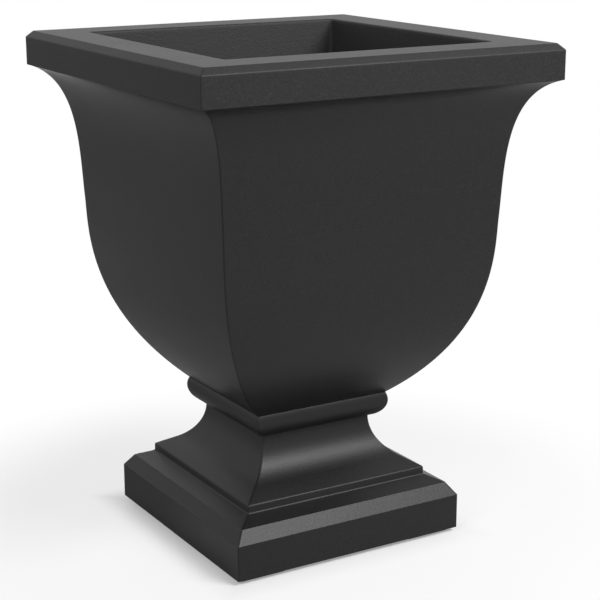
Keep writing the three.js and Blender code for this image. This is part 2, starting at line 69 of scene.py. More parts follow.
def size(name, millimetres, description):
    limits = {"min": 0.0, "subtype": "DISTANCE", "unit": "LENGTH"}
    return FloatProperty(name=name, description=description, default=millimetres * MM, **limits)


def slope(name, angle, description):
    return FloatProperty(name=name, description=description, default=math.radians(angle), subtype="ANGLE")


def share(name, default, description):
    limits = {"min": 0.0, "max": 1.0, "subtype": "FACTOR"}
    return FloatProperty(name=name, description=description, default=default, **limits)


def amount(name, default, description):
    return FloatProperty(name=name, description=description, default=default, min=0.0)


def number(name, default, description):
    return IntProperty(name=name, description=description, default=default, min=2)


def tint(name, default, description):
    limits = {"min": 0.0, "max": 1.0, "size": 3, "subtype": "COLOR"}
    return FloatVectorProperty(name=name, description=description, default=default, **limits)


def spot(name, default, description):
    limits = {"size": 3, "subtype": "TRANSLATION", "unit": "LENGTH"}
    return FloatVectorProperty(name=name, description=description, default=default, **limits)


class CollarSettings(bpy.types.PropertyGroup):
    """The collar and the planting well, which are one liner"""

    width: size("Width", 508, "Across the collar's flats")
    height: size("Height", 45.5, "From the bowl's lip to the collar's top")
    bevel_run: size("Bevel run", 8, "Width of the collar's bevel")
    bevel_drop: size("Bevel drop", 8, "Height of the collar's bevel")
    overhang: size("Overhang", 1.5, "How far the collar's face stands proud of the bowl's lip")
    wall: size("Wall", 4, "Thickness of the liner")
    clearance: size("Clearance", 6, "Between the well and the bowl")
    well_draft: slope("Draft", 1, "Lean of the well's upper walls")
    well_corner: size("Well corner", 6, "Radius of the well's upright corners")
    opening_edge: size("Opening edge", 3, "Radius of the edge round the opening")
    floor_fillet: size("Floor fillet", 10, "Radius between the well's walls and its floor")
    fit_gap: size("Fit gap", 0.5, "Between the bowl's upstand and the collar's inside")
    shadow_gap: size("Shadow gap", 0.3, "Between the collar's skirt and the bowl's lip")
    reservoir_depth: size("Reservoir depth", 100, "From the bowl's floor to the liner's underside")
    floor_hole: size("Floor hole", 4, "Radius of the holes in the liner's floor")
    floor_hole_inset: size("Floor hole inset", 40, "From the edge of the floor to the row of holes")


class BowlSettings(bpy.types.PropertyGroup):
    """The bowl: a belly that stands up to the waist, then a flare out to the lip"""

    height: size("Height", 423.5, "From the pedestal to the lip")
    waist_width: size("Waist width", 400, "Across the flats at the waist")
    waist_height: size("Waist height", 245.5, "From the pedestal to the waist")
    foot_slope: slope("Foot slope", 40.5, "Slope of the belly where it leaves the pedestal")
    waist_lean: slope("Waist lean", 3.6, "How far the waist leans outwards from upright")
    lip_slope: slope("Lip slope", 17, "Slope of the flare under the collar")
    belly_foot_pull: share("Belly pull at foot", 0.557, "Fullness of the belly at its foot")
    belly_waist_pull: share("Belly pull at waist", 0.167, "Fullness of the belly at the waist")
    flare_waist_pull: share("Flare pull at waist", 0.37, "Fullness of the flare at the waist")
    flare_lip_pull: share("Flare pull at lip", 0.3, "Fullness of the flare at the lip")
    wall: size("Wall", 5, "Thickness of the bowl")
    spigot_wall: size("Spigot wall", 7.5, "Wall of the spigot round the overflow tube")
    spigot_drop: size("Spigot drop", 15, "How far the spigot reaches below the bowl")
    spigot_rise: size("Spigot rise", 10, "How far the spigot stands above the bowl's floor")
    boss_wall: size("Boss wall", 7, "Wall of the bosses round the threaded inserts")


class PedestalSettings(bpy.types.PropertyGroup):
    """The pedestal, from the bead under the bowl down to the plinth"""

    wall: size("Wall", 5, "Thickness of the pedestal")
    bead_height: size("Bead height", 34.5, "Height of the round bead")
    bead_width: size("Bead width", 201, "Across the bead")
    bead_radius: size("Bead radius", 24, "Radius of the bead's nosing")
    neck_width: size("Neck width", 162, "Across the neck under the bead")
    scotia_height: size("Scotia height", 67.5, "Height of the hollow curve and the slope below it")
    scotia_slope: slope("Scotia slope", 30, "Slope that the hollow curve runs out into")
    riser_height: size("Riser height", 10, "Height of the small upright step")
    wash_run: size("Wash run", 21.5, "Width of the shallow slope under the riser")
    wash_rise: size("Wash rise", 9.5, "Height of the shallow slope under the riser")
    bevel_run: size("Bevel run", 12, "Width of the plinth's bevel")
    bevel_rise: size("Bevel rise", 16.5, "Height of the plinth's bevel")
    plinth_width: size("Plinth width", 338, "Across the plinth")
    face_height: size("Face height", 47, "Height of the plinth's upright face")


class EdgeSettings(bpy.types.PropertyGroup):
    """How the mouldings' edges are eased"""

    upright: size("Upright edges", 1.8, "Radius of the mouldings' four upright corners")
    crisp: size("Crisp edges", 0.9, "Radius of the mouldings' crisp edges")
    soft: size("Soft edges", 3.0, "Radius of the bevel's lower edge, the riser's edges and inside corners")
    corner_steps: number("Corner steps", 6, "Facets round each upright corner of a moulding")
    turned_steps: number("Turned steps", 12, "Facets round each quarter of a turned piece")
    screw_steps: number("Screw steps", 8, "Facets round each quarter of a foot pad's screw")
    curve_steps: number("Curve steps", 56, "Facets along each long curve")


class FittingSettings(bpy.types.PropertyGroup):
    """The wick cups, the overflow tube, the fasteners and the feet"""

    cup_mouth: size("Cup mouth", 26, "Radius of a wick cup at the liner's floor")
    cup_base: size("Cup base", 19, "Radius of a wick cup at its base")
    cup_wall: size("Cup wall", 2.5, "Thickness of a wick cup")
    cup_flange: size("Cup flange", 7, "Width of a wick cup's flange")
    cup_flange_height: size("Cup flange height", 3, "Thickness of a wick cup's flange")
    cup_floor_gap: size("Cup floor gap", 14, "From a wick cup down to the bowl's floor")
    cup_slot: size("Cup slot", 3.5, "Width of the slots in a wick cup")
    cup_slot_margin: size("Cup slot margin", 14, "Height left solid above and below the slots")
    cup_drain: size("Cup drain", 4, "Radius of the hole in a wick cup's base")
    cup_edge: size("Cup edge", 0.8, "Radius of a wick cup's edges")
    tube_radius: size("Tube radius", 12.5, "Radius of the overflow tube")
    tube_wall: size("Tube wall", 3, "Thickness of the overflow tube")
    tube_air_gap: size("Tube air gap", 14, "From the tube's mouth up to the liner's floor")
    notch_width: size("Notch width", 5, "Width of the notches in the tube's mouth")
    notch_depth: size("Notch depth", 7, "Depth of the notches in the tube's mouth")
    tube_edge: size("Tube edge", 1.0, "Radius of the edges of the tube and its grip")
    seal: size("Seal", 3, "Thickness of the tube's seal")
    seal_edge: size("Seal edge", 0.7, "Radius of the seal's edges")
    grip_radius: size("Grip radius", 24, "Radius of the tube's grip")
    grip_height: size("Grip height", 12, "Height of the tube's grip")
    scallop: size("Scallop", 4, "Radius of the scallops round the grip")
    scallops: number("Scallops", 10, "How many scallops the grip has")
    bolt_radius: size("Bolt radius", 4, "Radius of the bolts that hold the bowl down")
    bolt_reach: size("Bolt reach", 16, "Thread above the bowl's underside")
    bolt_flats: size("Bolt flats", 13, "Across the flats of a bolt's head")
    bolt_head: size("Bolt head", 5.5, "Height of a bolt's head")
    bolt_place: size("Bolt place", 52, "From the planter's axis to the bolts, along X and Y")
    washer_radius: size("Washer radius", 10, "Radius of the washers")
    washer: size("Washer", 1.5, "Thickness of the washers")
    insert_radius: size("Insert radius", 6.5, "Radius of the threaded inserts")
    insert_height: size("Insert height", 18, "Height of the threaded inserts")
    ring_edge: size("Ring edge", 0.3, "Radius of the edges of the washers and inserts")
    pad_width: size("Pad width", 65, "Across a foot pad")
    pad_height: size("Pad height", 6, "Height of a foot pad")
    pad_inset: size("Pad inset", 9, "From the plinth's faces to the foot pads")
    pad_bevel: size("Pad bevel", 1.5, "Bevel round a foot pad's underside")
    screw_radius: size("Screw radius", 2.25, "Radius of the foot pads' screws")
    screw_length: size("Screw length", 14, "Length of the screws above their heads")
    screw_head: size("Screw head", 4.5, "Radius of a screw's head")
    screw_head_height: size("Screw head height", 3, "Height of a screw's head")
    screw_recess: size("Screw recess", 5, "Across the crossed recess in a screw's head")
    screw_recess_width: size("Screw recess width", 1.1, "Width of each arm of that recess")
    screw_recess_depth: size("Screw recess depth", 1.5, "Depth of that recess")
    screw_pocket: size("Screw pocket", 6.5, "Radius of the pocket round a screw's head")
    screw_seat: size("Screw seat", 4, "From the ground up to the seat of a screw's head")
    gap: size("Gap", 0.3, "Between pieces that slip into each other")


class FinishSettings(bpy.types.PropertyGroup):
    """Colours of the finishes"""

    charcoal: tint("Charcoal", (0.0084, 0.0084, 0.0089), "Satin charcoal of the bowl and the pedestal")
    collar: tint("Collar", (0.0148, 0.0148, 0.0153), "Slightly paler charcoal of the liner and its collar")
    # The well's paler colour is painted light: it brightens the well's inner walls as light falling into the
    # well would. Only the rougher, coarser skin there is real scuffing.
    well: tint("Well", (0.033, 0.033, 0.0335), "Scuffed charcoal of the planting well's inside")
    well_half: size("Well half width", 189, "Half the width of the square within which the liner is scuffed")
    least_outward: size("Least outward", 1, "How far the liner's walls face outwards where the scuffing ends")
    grain: tint("Grain", (0.05, 0.05, 0.0505), "Pale grains in the mouldings")
    black: tint("Black", (0.012, 0.012, 0.0125), "Smooth black fittings")
    rubber: tint("Rubber", (0.006, 0.006, 0.006), "Matte rubber")
    stainless: tint("Stainless", (0.46, 0.47, 0.48), "Stainless fasteners")
    brass: tint("Brass", (0.52, 0.35, 0.11), "Threaded inserts")


class StudioSettings(bpy.types.PropertyGroup):
    """The camera, the floor and the lights"""

    camera_place: spot("Camera place", (-1.0323, -1.7582, 0.8595), "Where the camera stands")
    camera_turn: slope("Camera turn", -30.96, "How far round the camera looks from straight ahead")
    camera_dip: slope("Camera dip", 15.1, "How far the camera looks down")
    camera_roll: slope("Camera roll", -0.06, "How far the camera leans")
    focal_length: amount("Focal length", 94.36, "Millimetres, on a sensor of the width below")
    sensor_width: amount("Sensor width", 36, "Millimetres across the camera's sensor")
    floor_size: size("Floor size", 60000, "Width of the floor")
    floor_colour: tint("Floor colour", (0.75, 0.75, 0.75), "Pale studio floor")
    # Glow below full near the planter paints a soft shade round and under it. The lamps' real shadow of the
    # planter shows there too.
    floor_glow: share("Floor glow", 0.72, "How far the floor is lifted to white beside the planter")
    floor_in_gloss: share("Floor in gloss", 0.1, "Share of the floor's glow that shows in reflections")
    contact_glow: share("Contact glow", 0.4, "The share of that glow which is left under the planter")
    contact_start: size("Contact start", 155, "Half the width of the square of full shade under the planter")
    contact_end: size("Contact end", 215, "Half the width of the square where that shade has faded")
    shade_reach: size("Shade reach", 350, "How far from the axis the floor starts to turn white")
    white_reach: size("White reach", 620, "How far from the planter's axis the floor is wholly white")
    ambient: amount("Ambient", 0.1, "Strength of the light from all round")
    light_aim: spot("Light aim", (0, 0, 0.3), "The point that every softbox faces")
    softbox: amount("Softbox", 104.0, "Watts of the wide softbox at the front right")
    softbox_place: spot("Softbox place", (1.04, -2.08, 2.2), "Where that softbox hangs")
    softbox_width: size("Softbox width", 1600, "Its width")
    softbox_height: size("Softbox height", 1100, "Its height")
    fill: amount("Fill", 29.0, "Watts of the square softbox at the left")
    fill_place: spot("Fill place", (-2.29, -1.22, 1.8), "Where that softbox hangs")
    fill_width: size("Fill width", 1300, "Its width and height")
    rear: amount("Rear", 14.0, "Watts of each of the two low softboxes behind")
    rear_left_place: spot("Rear left place", (0.6, 2.3, 0.4), "Where the left one stands")
    rear_right_place: spot("Rear right place", (2.3, 0.6, 0.4), "Where the right one stands")
    rear_width: size("Rear width", 1100, "Their width")
    rear_height: size("Rear height", 500, "Their height")


class PlanterSettings(bpy.types.PropertyGroup):
    """All settings of the planter"""

    collar: PointerProperty(type=CollarSettings)
    bowl: PointerProperty(type=BowlSettings)
    pedestal: PointerProperty(type=PedestalSettings)
    edges: PointerProperty(type=EdgeSettings)
    fittings: PointerProperty(type=FittingSettings)
    finishes: PointerProperty(type=FinishSettings)
    studio: PointerProperty(type=StudioSettings)


# ---------------------------------------------------------------------------- levels and sections
# A section is a list of corners in a half section: (half width, height, edge radius, upright corner radius).


class Levels:
    """Heights and half widths that follow from the settings"""

    def __init__(self, planter):
        collar, bowl, pedestal, fittings = planter.collar, planter.bowl, planter.pedestal, planter.fittings
        self.plinth_base = fittings.pad_height
        self.plinth_face_top = self.plinth_base + pedestal.face_height
        self.wash_base = self.plinth_face_top + pedestal.bevel_rise
        self.riser_base = self.wash_base + pedestal.wash_rise
        self.riser_top = self.riser_base + pedestal.riser_height
        self.neck_top = self.riser_top + pedestal.scotia_height
        self.bowl_base = self.neck_top + pedestal.bead_height
        self.deck_underside = self.bowl_base - pedestal.wall
        self.bowl_floor = self.bowl_base + bowl.wall
        self.waist = self.bowl_base + bowl.waist_height
        self.lip = self.bowl_base + bowl.height
        self.collar_top = self.lip + collar.height
        self.collar_underside = self.collar_top - collar.wall
        self.liner_underside = self.bowl_floor + collar.reservoir_depth
        self.liner_floor = self.liner_underside + collar.wall
        self.spigot_base = self.bowl_base - bowl.spigot_drop
        self.spigot_top = self.bowl_floor + bowl.spigot_rise
        self.tube_top = self.liner_underside - fittings.tube_air_gap
        self.cup_base = self.bowl_floor + fittings.cup_floor_gap

        self.collar_half = collar.width / 2
        self.plinth_half = pedestal.plinth_width / 2
        self.pad_place = self.plinth_half - fittings.pad_inset - fittings.pad_width / 2
        self.base_opening = self.plinth_half - fittings.pad_inset - fittings.pad_width
        self.spigot_radius = fittings.tube_radius + fittings.gap + bowl.spigot_wall
        self.cup_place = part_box("wick_cup_2")[0].x + fittings.cup_mouth + fittings.cup_flange


def step(angle, length):
    """A step of some length, at an angle from level"""
    return Vector((math.cos(angle), math.sin(angle))) * length


def curve(start, start_pull, end_pull, end, steps):
    """Points along a curve that leaves its start and reaches its end along the two pulls"""
    points = []
    for i in range(steps + 1):
        t = i / steps
        points.append(
            start * (1 - t) ** 3
            + (start + start_pull) * 3 * t * (1 - t) ** 2
            + (end - end_pull) * 3 * t**2 * (1 - t)
            + end * t**3
        )
    return points


def arc(centre, radius, start, end, steps):
    """Points round a centre, from one angle to another"""
    return [centre + step(start + (end - start) * i / steps, radius) for i in range(steps + 1)]


def beside(points, distance):
    """The same line moved sideways, to the left of the way it runs, with its bends kept sharp"""
    runs = [(b - a).normalized() for a, b in zip(points, points[1:])]
    sides = [Vector((-run.y, run.x)) for run in runs]
    moved = []
    for i, point in enumerate(points):
        before, after = sides[max(i - 1, 0)], sides[min(i, len(sides) - 1)]
        middle = (before + after).normalized()
        moved.append(point + middle * (distance / middle.dot(after)))
    return moved


def crossing(points, axis, value):
    """Where a line first reaches a value of x (0) or y (1)"""
    for a, b in zip(points, points[1:]):
        if (a[axis] - value) * (b[axis] - value) <= 0:
            return a.lerp(b, (value - a[axis]) / (b[axis] - a[axis]))
    raise ValueError(f"the line never reaches {value}")


def stretch(points, axis, start, end):
    """The part of a line between two values of x (0) or y (1), without points crowded at its ends"""
    crowding = 1 * MM
    inside = [point for point in points if start + crowding < point[axis] < end - crowding]
    return [crossing(points, axis, start), *inside, crossing(points, axis, end)]


def corners(points, upright, edge=0.0):
    """Section corners from plain points, all with the same upright corner radius and edge radius"""
    return [(point[0], point[1], edge, upright) for point in points]


def eased(section, closed=False, steps=5):
    """Rounds a section's corners by their edge radii, with a supporting point each side of every rounding"""
    most_of_side = 0.45
    rounded = []
    for i, (half, height, edge, upright) in enumerate(section):
        here = Vector((half, height))
        if edge == 0 or (not closed and i in (0, len(section) - 1)):
            rounded.append((half, height, upright))
            continue
        back = Vector(section[i - 1][:2]) - here
        ahead = Vector(section[(i + 1) % len(section)][:2]) - here
        opening = back.angle(ahead)
        room = min(back.length, ahead.length) * most_of_side
        reach = min(edge / math.tan(opening / 2), room)
        radius = reach * math.tan(opening / 2)
        back.normalize()
        ahead.normalize()
        centre = here + (back + ahead).normalized() * (radius / math.sin(opening / 2))
        first = here + back * reach - centre
        last = here + ahead * reach - centre
        sweep = -first.angle_signed(last)
        begin = math.atan2(first.y, first.x)
        points = arc(centre, radius, begin, begin + sweep, steps)
        if reach + edge < room:
            points = [here + back * (reach + edge), *points, here + ahead * (reach + edge)]
        rounded += [(point.x, point.y, upright) for point in points]
    return rounded


def bowl_outside(planter, levels):
    """The belly and the flare, each from its lower end up"""
    bowl = planter.bowl
    steps = planter.edges.curve_steps
    foot = Vector((bead(planter, levels)[0].x, levels.bowl_base))
    waist = Vector((bowl.waist_width / 2, levels.waist))
    lip = Vector((levels.collar_half - planter.collar.overhang, levels.lip))
    upright = math.pi / 2 - bowl.waist_lean
    flare_height = bowl.height - bowl.waist_height
    belly = curve(
        foot,
        step(bowl.foot_slope, bowl.belly_foot_pull * bowl.waist_height),
        step(upright, bowl.belly_waist_pull * bowl.waist_height),
        waist,
        steps,
    )
    flare = curve(
        waist,
        step(upright, bowl.flare_waist_pull * flare_height),
        step(bowl.lip_slope, bowl.flare_lip_pull * flare_height),
        lip,
        steps,
    )
    return belly, flare


def bead(planter, levels):
    """The round nosing over the neck, from where the bowl cuts it level down to the neck"""
    pedestal = planter.pedestal
    radius = pedestal.bead_radius
    centre_half = pedestal.bead_width / 2 - radius
    neck_reach = pedestal.neck_width / 2 - centre_half
    centre = Vector((centre_half, levels.neck_top + math.sqrt(radius**2 - neck_reach**2)))
    top_angle = math.asin((levels.bowl_base - centre.y) / radius)
    neck_angle = -math.acos(neck_reach / radius)
    return arc(centre, radius, top_angle, neck_angle, planter.edges.curve_steps // 2)


def scotia(planter, levels):
    """The hollow curve under the neck: a round sweep that runs out into a straight slope"""
    pedestal = planter.pedestal
    neck = pedestal.neck_width / 2
    run = levels.plinth_half - pedestal.bevel_run - pedestal.wash_run - neck
    sine, cosine = math.sin(pedestal.scotia_slope), math.cos(pedestal.scotia_slope)
    radius = (pedestal.scotia_height * cosine - run * sine) / (1 - sine)
    slope_length = (run - radius * (1 - sine)) / cosine
    centre = Vector((neck + radius, levels.riser_top + slope_length * sine + radius * cosine))
    runs_out = 3 * math.pi / 2 - pedestal.scotia_slope
    return arc(centre, radius, math.pi, runs_out, planter.edges.curve_steps // 2)


def liner_section(planter, levels):
    """The well's floor and walls, the collar, and the same again underneath"""
    collar, edges = planter.collar, planter.edges
    belly, _ = bowl_outside(planter, levels)
    wall_gap = planter.bowl.wall + collar.clearance
    well_outside = beside(belly, wall_gap)
    well_inside = beside(belly, wall_gap + collar.wall)
    widening = math.tan(collar.well_draft)
    mouth = well_inside[-1].x + (levels.collar_top - collar.opening_edge - well_inside[-1].y) * widening
    root = well_outside[-1].x + (levels.collar_underside - well_outside[-1].y) * widening
    bevel_top = Vector((levels.collar_half - collar.bevel_run, levels.collar_top))
    bevel_foot = Vector((levels.collar_half, levels.collar_top - collar.bevel_drop))
    skirt = Vector((levels.collar_half, levels.lip + collar.shadow_gap))
    inside = beside([bevel_top, bevel_foot, skirt], -collar.wall)
    inside[0] = crossing(inside, 1, levels.collar_underside)
    well = stretch(well_inside, 1, levels.liner_floor, well_inside[-1].y)
    under = stretch(well_outside, 1, levels.liner_underside, well_outside[-1].y)
    return [
        (0, levels.liner_floor, 0, collar.well_corner),
        (well[0].x, well[0].y, edges.soft, collar.well_corner),
        *corners(well[1:], collar.well_corner),
        (mouth, levels.collar_top, collar.opening_edge, collar.well_corner),
        (bevel_top.x, bevel_top.y, edges.crisp, edges.upright),
        (bevel_foot.x, bevel_foot.y, edges.soft, edges.upright),
        (skirt.x, skirt.y, edges.crisp / 2, edges.upright),
        *corners(reversed(inside), edges.upright),
        (root, levels.collar_underside, edges.soft, collar.well_corner + collar.wall),
        *corners(reversed(under[1:]), collar.well_corner + collar.wall),
        (under[0].x, under[0].y, edges.soft, collar.well_corner + collar.wall),
        (0, levels.liner_underside, 0, collar.well_corner),
    ]


def bowl_section(planter, levels):
    """The bowl's floor and inner skin, the upstand inside the collar, the lip and the outside"""
    collar, edges, wall = planter.collar, planter.edges, planter.bowl.wall
    belly, flare = bowl_outside(planter, levels)
    outside = belly + flare[1:]
    inside = beside(outside, wall)
    collar_face = [
        Vector((levels.collar_half - collar.bevel_run, levels.collar_top)),
        Vector((levels.collar_half, levels.collar_top - collar.bevel_drop)),
    ]
    corner = crossing(beside(collar_face, -collar.wall), 1, levels.collar_underside)
    upstand = corner.x - collar.fit_gap
    skin = stretch(inside, 0, crossing(inside, 1, levels.bowl_floor).x, upstand - wall)
    return [
        (0, levels.bowl_floor, 0, edges.upright),
        *corners(skin, edges.upright),
        (upstand - wall, levels.collar_underside, edges.crisp, edges.upright),
        (upstand, levels.collar_underside, edges.crisp, edges.upright),
        (upstand, levels.lip, 0, edges.upright),
        (flare[-1].x, flare[-1].y, edges.crisp / 2, edges.upright),
        *corners(reversed(outside[:-1]), edges.upright),
        (0, levels.bowl_base, 0, edges.upright),
    ]


def pedestal_section(planter, levels):
    """The bead, neck, hollow curve, riser, wash and plinth, and the inside one wall further in"""
    pedestal, edges = planter.pedestal, planter.edges
    wash_half = levels.plinth_half - pedestal.bevel_run
    riser_half = wash_half - pedestal.wash_run
    nosing = bead(planter, levels)[:-1]
    hollow = scotia(planter, levels)
    hollow[0].y = levels.neck_top
    steps = [
        Vector((riser_half, levels.riser_top)),
        Vector((riser_half, levels.riser_base)),
        Vector((wash_half, levels.wash_base)),
        Vector((levels.plinth_half, levels.plinth_face_top)),
        Vector((levels.plinth_half, levels.plinth_base)),
    ]
    flange_top = levels.plinth_base + pedestal.wall
    inside = beside(nosing + hollow + steps, -pedestal.wall)
    skin = stretch(inside[::-1], 1, flange_top, levels.deck_underside)
    radii = [edges.soft, edges.soft, edges.crisp, edges.crisp, edges.crisp / 2]
    return [
        (0, levels.bowl_base, 0, edges.upright),
        (nosing[0].x, nosing[0].y, edges.crisp, edges.upright),
        *corners(nosing[1:], edges.upright),
        (hollow[0].x, hollow[0].y, edges.crisp, edges.upright),
        *corners(hollow[1:], edges.upright),
        *[(place.x, place.y, radius, edges.upright) for place, radius in zip(steps, radii)],
        (levels.base_opening, levels.plinth_base, edges.crisp, edges.upright),
        (levels.base_opening, flange_top, edges.crisp, edges.upright),
        *corners(skin, edges.upright),
        (0, levels.deck_underside, 0, edges.upright),
    ]


# ---------------------------------------------------------------------------- node trees


class Link:
    """A node's output in an expression, where + - * and / add Math nodes"""

    def __init__(self, graph, socket):
        self.graph = graph
        self.socket = socket

    def output(self, name):
        """Another output of the same node"""
        return Link(self.graph, self.socket.node.outputs[name])

    def __add__(self, other):
        return self.graph.maths("ADD", self, other)

    def __sub__(self, other):
        return self.graph.maths("SUBTRACT", self, other)

    def __mul__(self, other):
        return self.graph.maths("MULTIPLY", self, other)

    def __truediv__(self, other):
        return self.graph.maths("DIVIDE", self, other)

    __radd__ = __add__
    __rmul__ = __mul__


class Graph:
    """A node tree under construction"""

    def __init__(self, tree):
        self.tree = tree

    def node(self, kind, sockets=None, output=0, stops=None, **settings):
        """Adds a node: its settings first, then the values or links of its sockets"""
        made = self.tree.nodes.new(kind)
        for name, value in settings.items():
            setattr(made, name, value)
        for stop, (position, shade) in zip(made.color_ramp.elements if stops else (), stops or ()):
            stop.position = position
            stop.color = (shade, shade, shade, 1)
        for key, value in (sockets or {}).items():
            for item in value if isinstance(value, list) else [value]:
                if isinstance(item, Link):
                    self.tree.links.new(item.socket, made.inputs[key])
                else:
                    made.inputs[key].default_value = item
        return Link(self, made.outputs[output])

    def maths(self, operation, *values):
        return self.node("ShaderNodeMath", dict(enumerate(values)), operation=operation)

    def vector(self, x=0.0, y=0.0, z=0.0):
        return self.node("ShaderNodeCombineXYZ", {"X": x, "Y": y, "Z": z})

    def is_seen(self, in_gloss=1.0):
        """1 where the camera sees a surface, also through glass, in_gloss in a reflection, and 0 elsewhere"""
        path = self.node("ShaderNodeLightPath", output="Is Camera Ray")
        either = self.maths("MAXIMUM", path, path.output("Is Transmission Ray"))
        return self.maths("MAXIMUM", either, path.output("Is Glossy Ray") * in_gloss)


class Shape(Graph):
    """A Geometry Nodes tree whose inputs are named sizes, and which makes one piece from a section"""

    def __init__(self, name, sizes):
        super().__init__(bpy.data.node_groups.new(name, "GeometryNodeTree"))
        interface = self.tree.interface
        interface.new_socket("Section", in_out="INPUT", socket_type="NodeSocketGeometry")
        interface.new_socket("Material", in_out="INPUT", socket_type="NodeSocketMaterial")
        interface.new_socket("Piece", in_out="OUTPUT", socket_type="NodeSocketGeometry")
        self.values = sizes
        for title in sizes:
            interface.new_socket(title, in_out="INPUT", socket_type="NodeSocketFloat")
        self.entry = self.tree.nodes.new("NodeGroupInput")

    def __getitem__(self, title):
        """The tree's input of that name"""
        return Link(self, self.entry.outputs[title])

    def attribute(self, name):
        return self.node("GeometryNodeInputNamedAttribute", {"Name": name}, data_type="FLOAT")

    def carried_round(self, corner_steps):
        """Carries the section once round the axis, square with rounded upright corners.

        Each point of the section keeps its own corner radius. One as large as the half width makes a circle.
        Two supporting points beside every corner keep the shading of the flat sides flat.
        """
        per_corner = corner_steps + 3
        circle = self.node("GeometryNodeCurvePrimitiveCircle", {"Resolution": 4 * per_corner}, mode="RADIUS")
        place = self.node("GeometryNodeInputIndex")
        path = self.node(
            "GeometryNodeStoreNamedAttribute",
            {"Geometry": circle, "Name": "around", "Value": place},
            data_type="FLOAT",
            domain="POINT",
        )
        profile = self.node("GeometryNodeMeshToCurve", {"Mesh": self["Section"]})
        sockets = {"Curve": path, "Profile Curve": profile, "Fill Caps": False}
        skin = self.node("GeometryNodeCurveToMesh", sockets)
        around, half, height = self.attribute("around"), self.attribute("half"), self.attribute("height")
        quarter = self.maths("FLOOR", (around + 0.5) / per_corner)
        count = around - quarter * per_corner
        radius = self.maths("MINIMUM", self.attribute("upright"), half)
        centre = half - radius
        angle = self.maths("MINIMUM", self.maths("MAXIMUM", count - 1, 0), corner_steps) * (90 / corner_steps)
        turn = self.maths("RADIANS", angle)
        support = self.maths("MINIMUM", radius, centre * 0.5)
        is_first = self.maths("LESS_THAN", count, 0.5)
        is_last = self.maths("GREATER_THAN", count, per_corner - 1.5)
        x = centre + radius * self.maths("COSINE", turn) - support * is_last
        y = centre + radius * self.maths("SINE", turn) - support * is_first
        placed = self.node(
            "ShaderNodeVectorRotate",
            {"Vector": self.vector(x, y, height), "Angle": quarter * (math.pi / 2)},
            rotation_type="Z_AXIS",
        )
        moved = self.node("GeometryNodeSetPosition", {"Geometry": skin, "Position": placed})
        return self.node("GeometryNodeMergeByDistance", {"Geometry": moved, "Distance": MERGE_GAP})

    def moved(self, geometry, x=0.0, y=0.0, z=0.0, turn=0.0):
        sockets = {"Geometry": geometry, "Translation": self.vector(x, y, z), "Rotation": self.vector(z=turn)}
        return self.node("GeometryNodeTransform", sockets)

    def rod(self, radius, bottom, top, sides=48):
        """An upright cylinder between two levels"""
        sockets = {"Vertices": sides, "Radius": radius, "Depth": top - bottom}
        return self.moved(self.node("GeometryNodeMeshCylinder", sockets), z=(bottom + top) * 0.5)

    def block(self, x, y, z):
        return self.node("GeometryNodeMeshCube", {"Size": self.vector(x, y, z)})

    def on_corners(self, geometry, half):
        """Four copies on the corners of a square"""
        return self.spread(geometry, half * math.sqrt(2), 4, math.pi / 4)

    def on_sides(self, geometry, half):
        """Four copies on the middles of a square's sides"""
        return self.spread(geometry, half, 4, 0)

    def spread(self, geometry, radius, count, turn=0.0, face_out=False):
        """Copies in a ring, which may all face outwards"""
        ring = self.node("GeometryNodeMeshCircle", {"Vertices": count, "Radius": radius})
        sockets = {"Points": self.moved(ring, turn=turn), "Instance": geometry}
        if face_out:
            place = self.node("GeometryNodeInputIndex")
            sockets["Rotation"] = self.vector(z=place * (2 * math.pi / count))
        copies = self.node("GeometryNodeInstanceOnPoints", sockets)
        return self.node("GeometryNodeRealizeInstances", {"Geometry": copies})

    def joined(self, *solids):
        sockets = {"Mesh 2": list(solids)}
        return self.node("GeometryNodeMeshBoolean", sockets, operation="UNION", solver="MANIFOLD")

    def shared(self, *solids):
        sockets = {"Mesh 2": list(solids)}
        return self.node("GeometryNodeMeshBoolean", sockets, operation="INTERSECT", solver="MANIFOLD")

    def cut(self, solid, *cutters):
        sockets = {"Mesh 1": solid, "Mesh 2": list(cutters)}
        return self.node("GeometryNodeMeshBoolean", sockets, operation="DIFFERENCE", solver="MANIFOLD")

    def end(self, mesh):
        """Shades the piece smooth with its true edges left sharp, and gives it its material"""
        smooth = self.node("GeometryNodeSetShadeSmooth", {0: mesh, "Shade Smooth": True}, domain="FACE")
        bend = self.node("GeometryNodeInputMeshEdgeAngle")
        sockets = {"A": bend, "B": SHARPEST_SMOOTH_BEND}
        is_sharp = self.node("FunctionNodeCompare", sockets, operation="GREATER_THAN")
        sockets = {0: smooth, "Selection": is_sharp, "Shade Smooth": False}
        crisp = self.node("GeometryNodeSetShadeSmooth", sockets, domain="EDGE")
        plain = self.node("GeometryNodeRealizeInstances", {"Geometry": crisp})
        sockets = {"Geometry": plain, "Material": self["Material"]}
        finished = self.node("GeometryNodeSetMaterial", sockets)
        leave = self.tree.nodes.new("NodeGroupOutput")
        self.tree.links.new(finished.socket, leave.inputs[0])

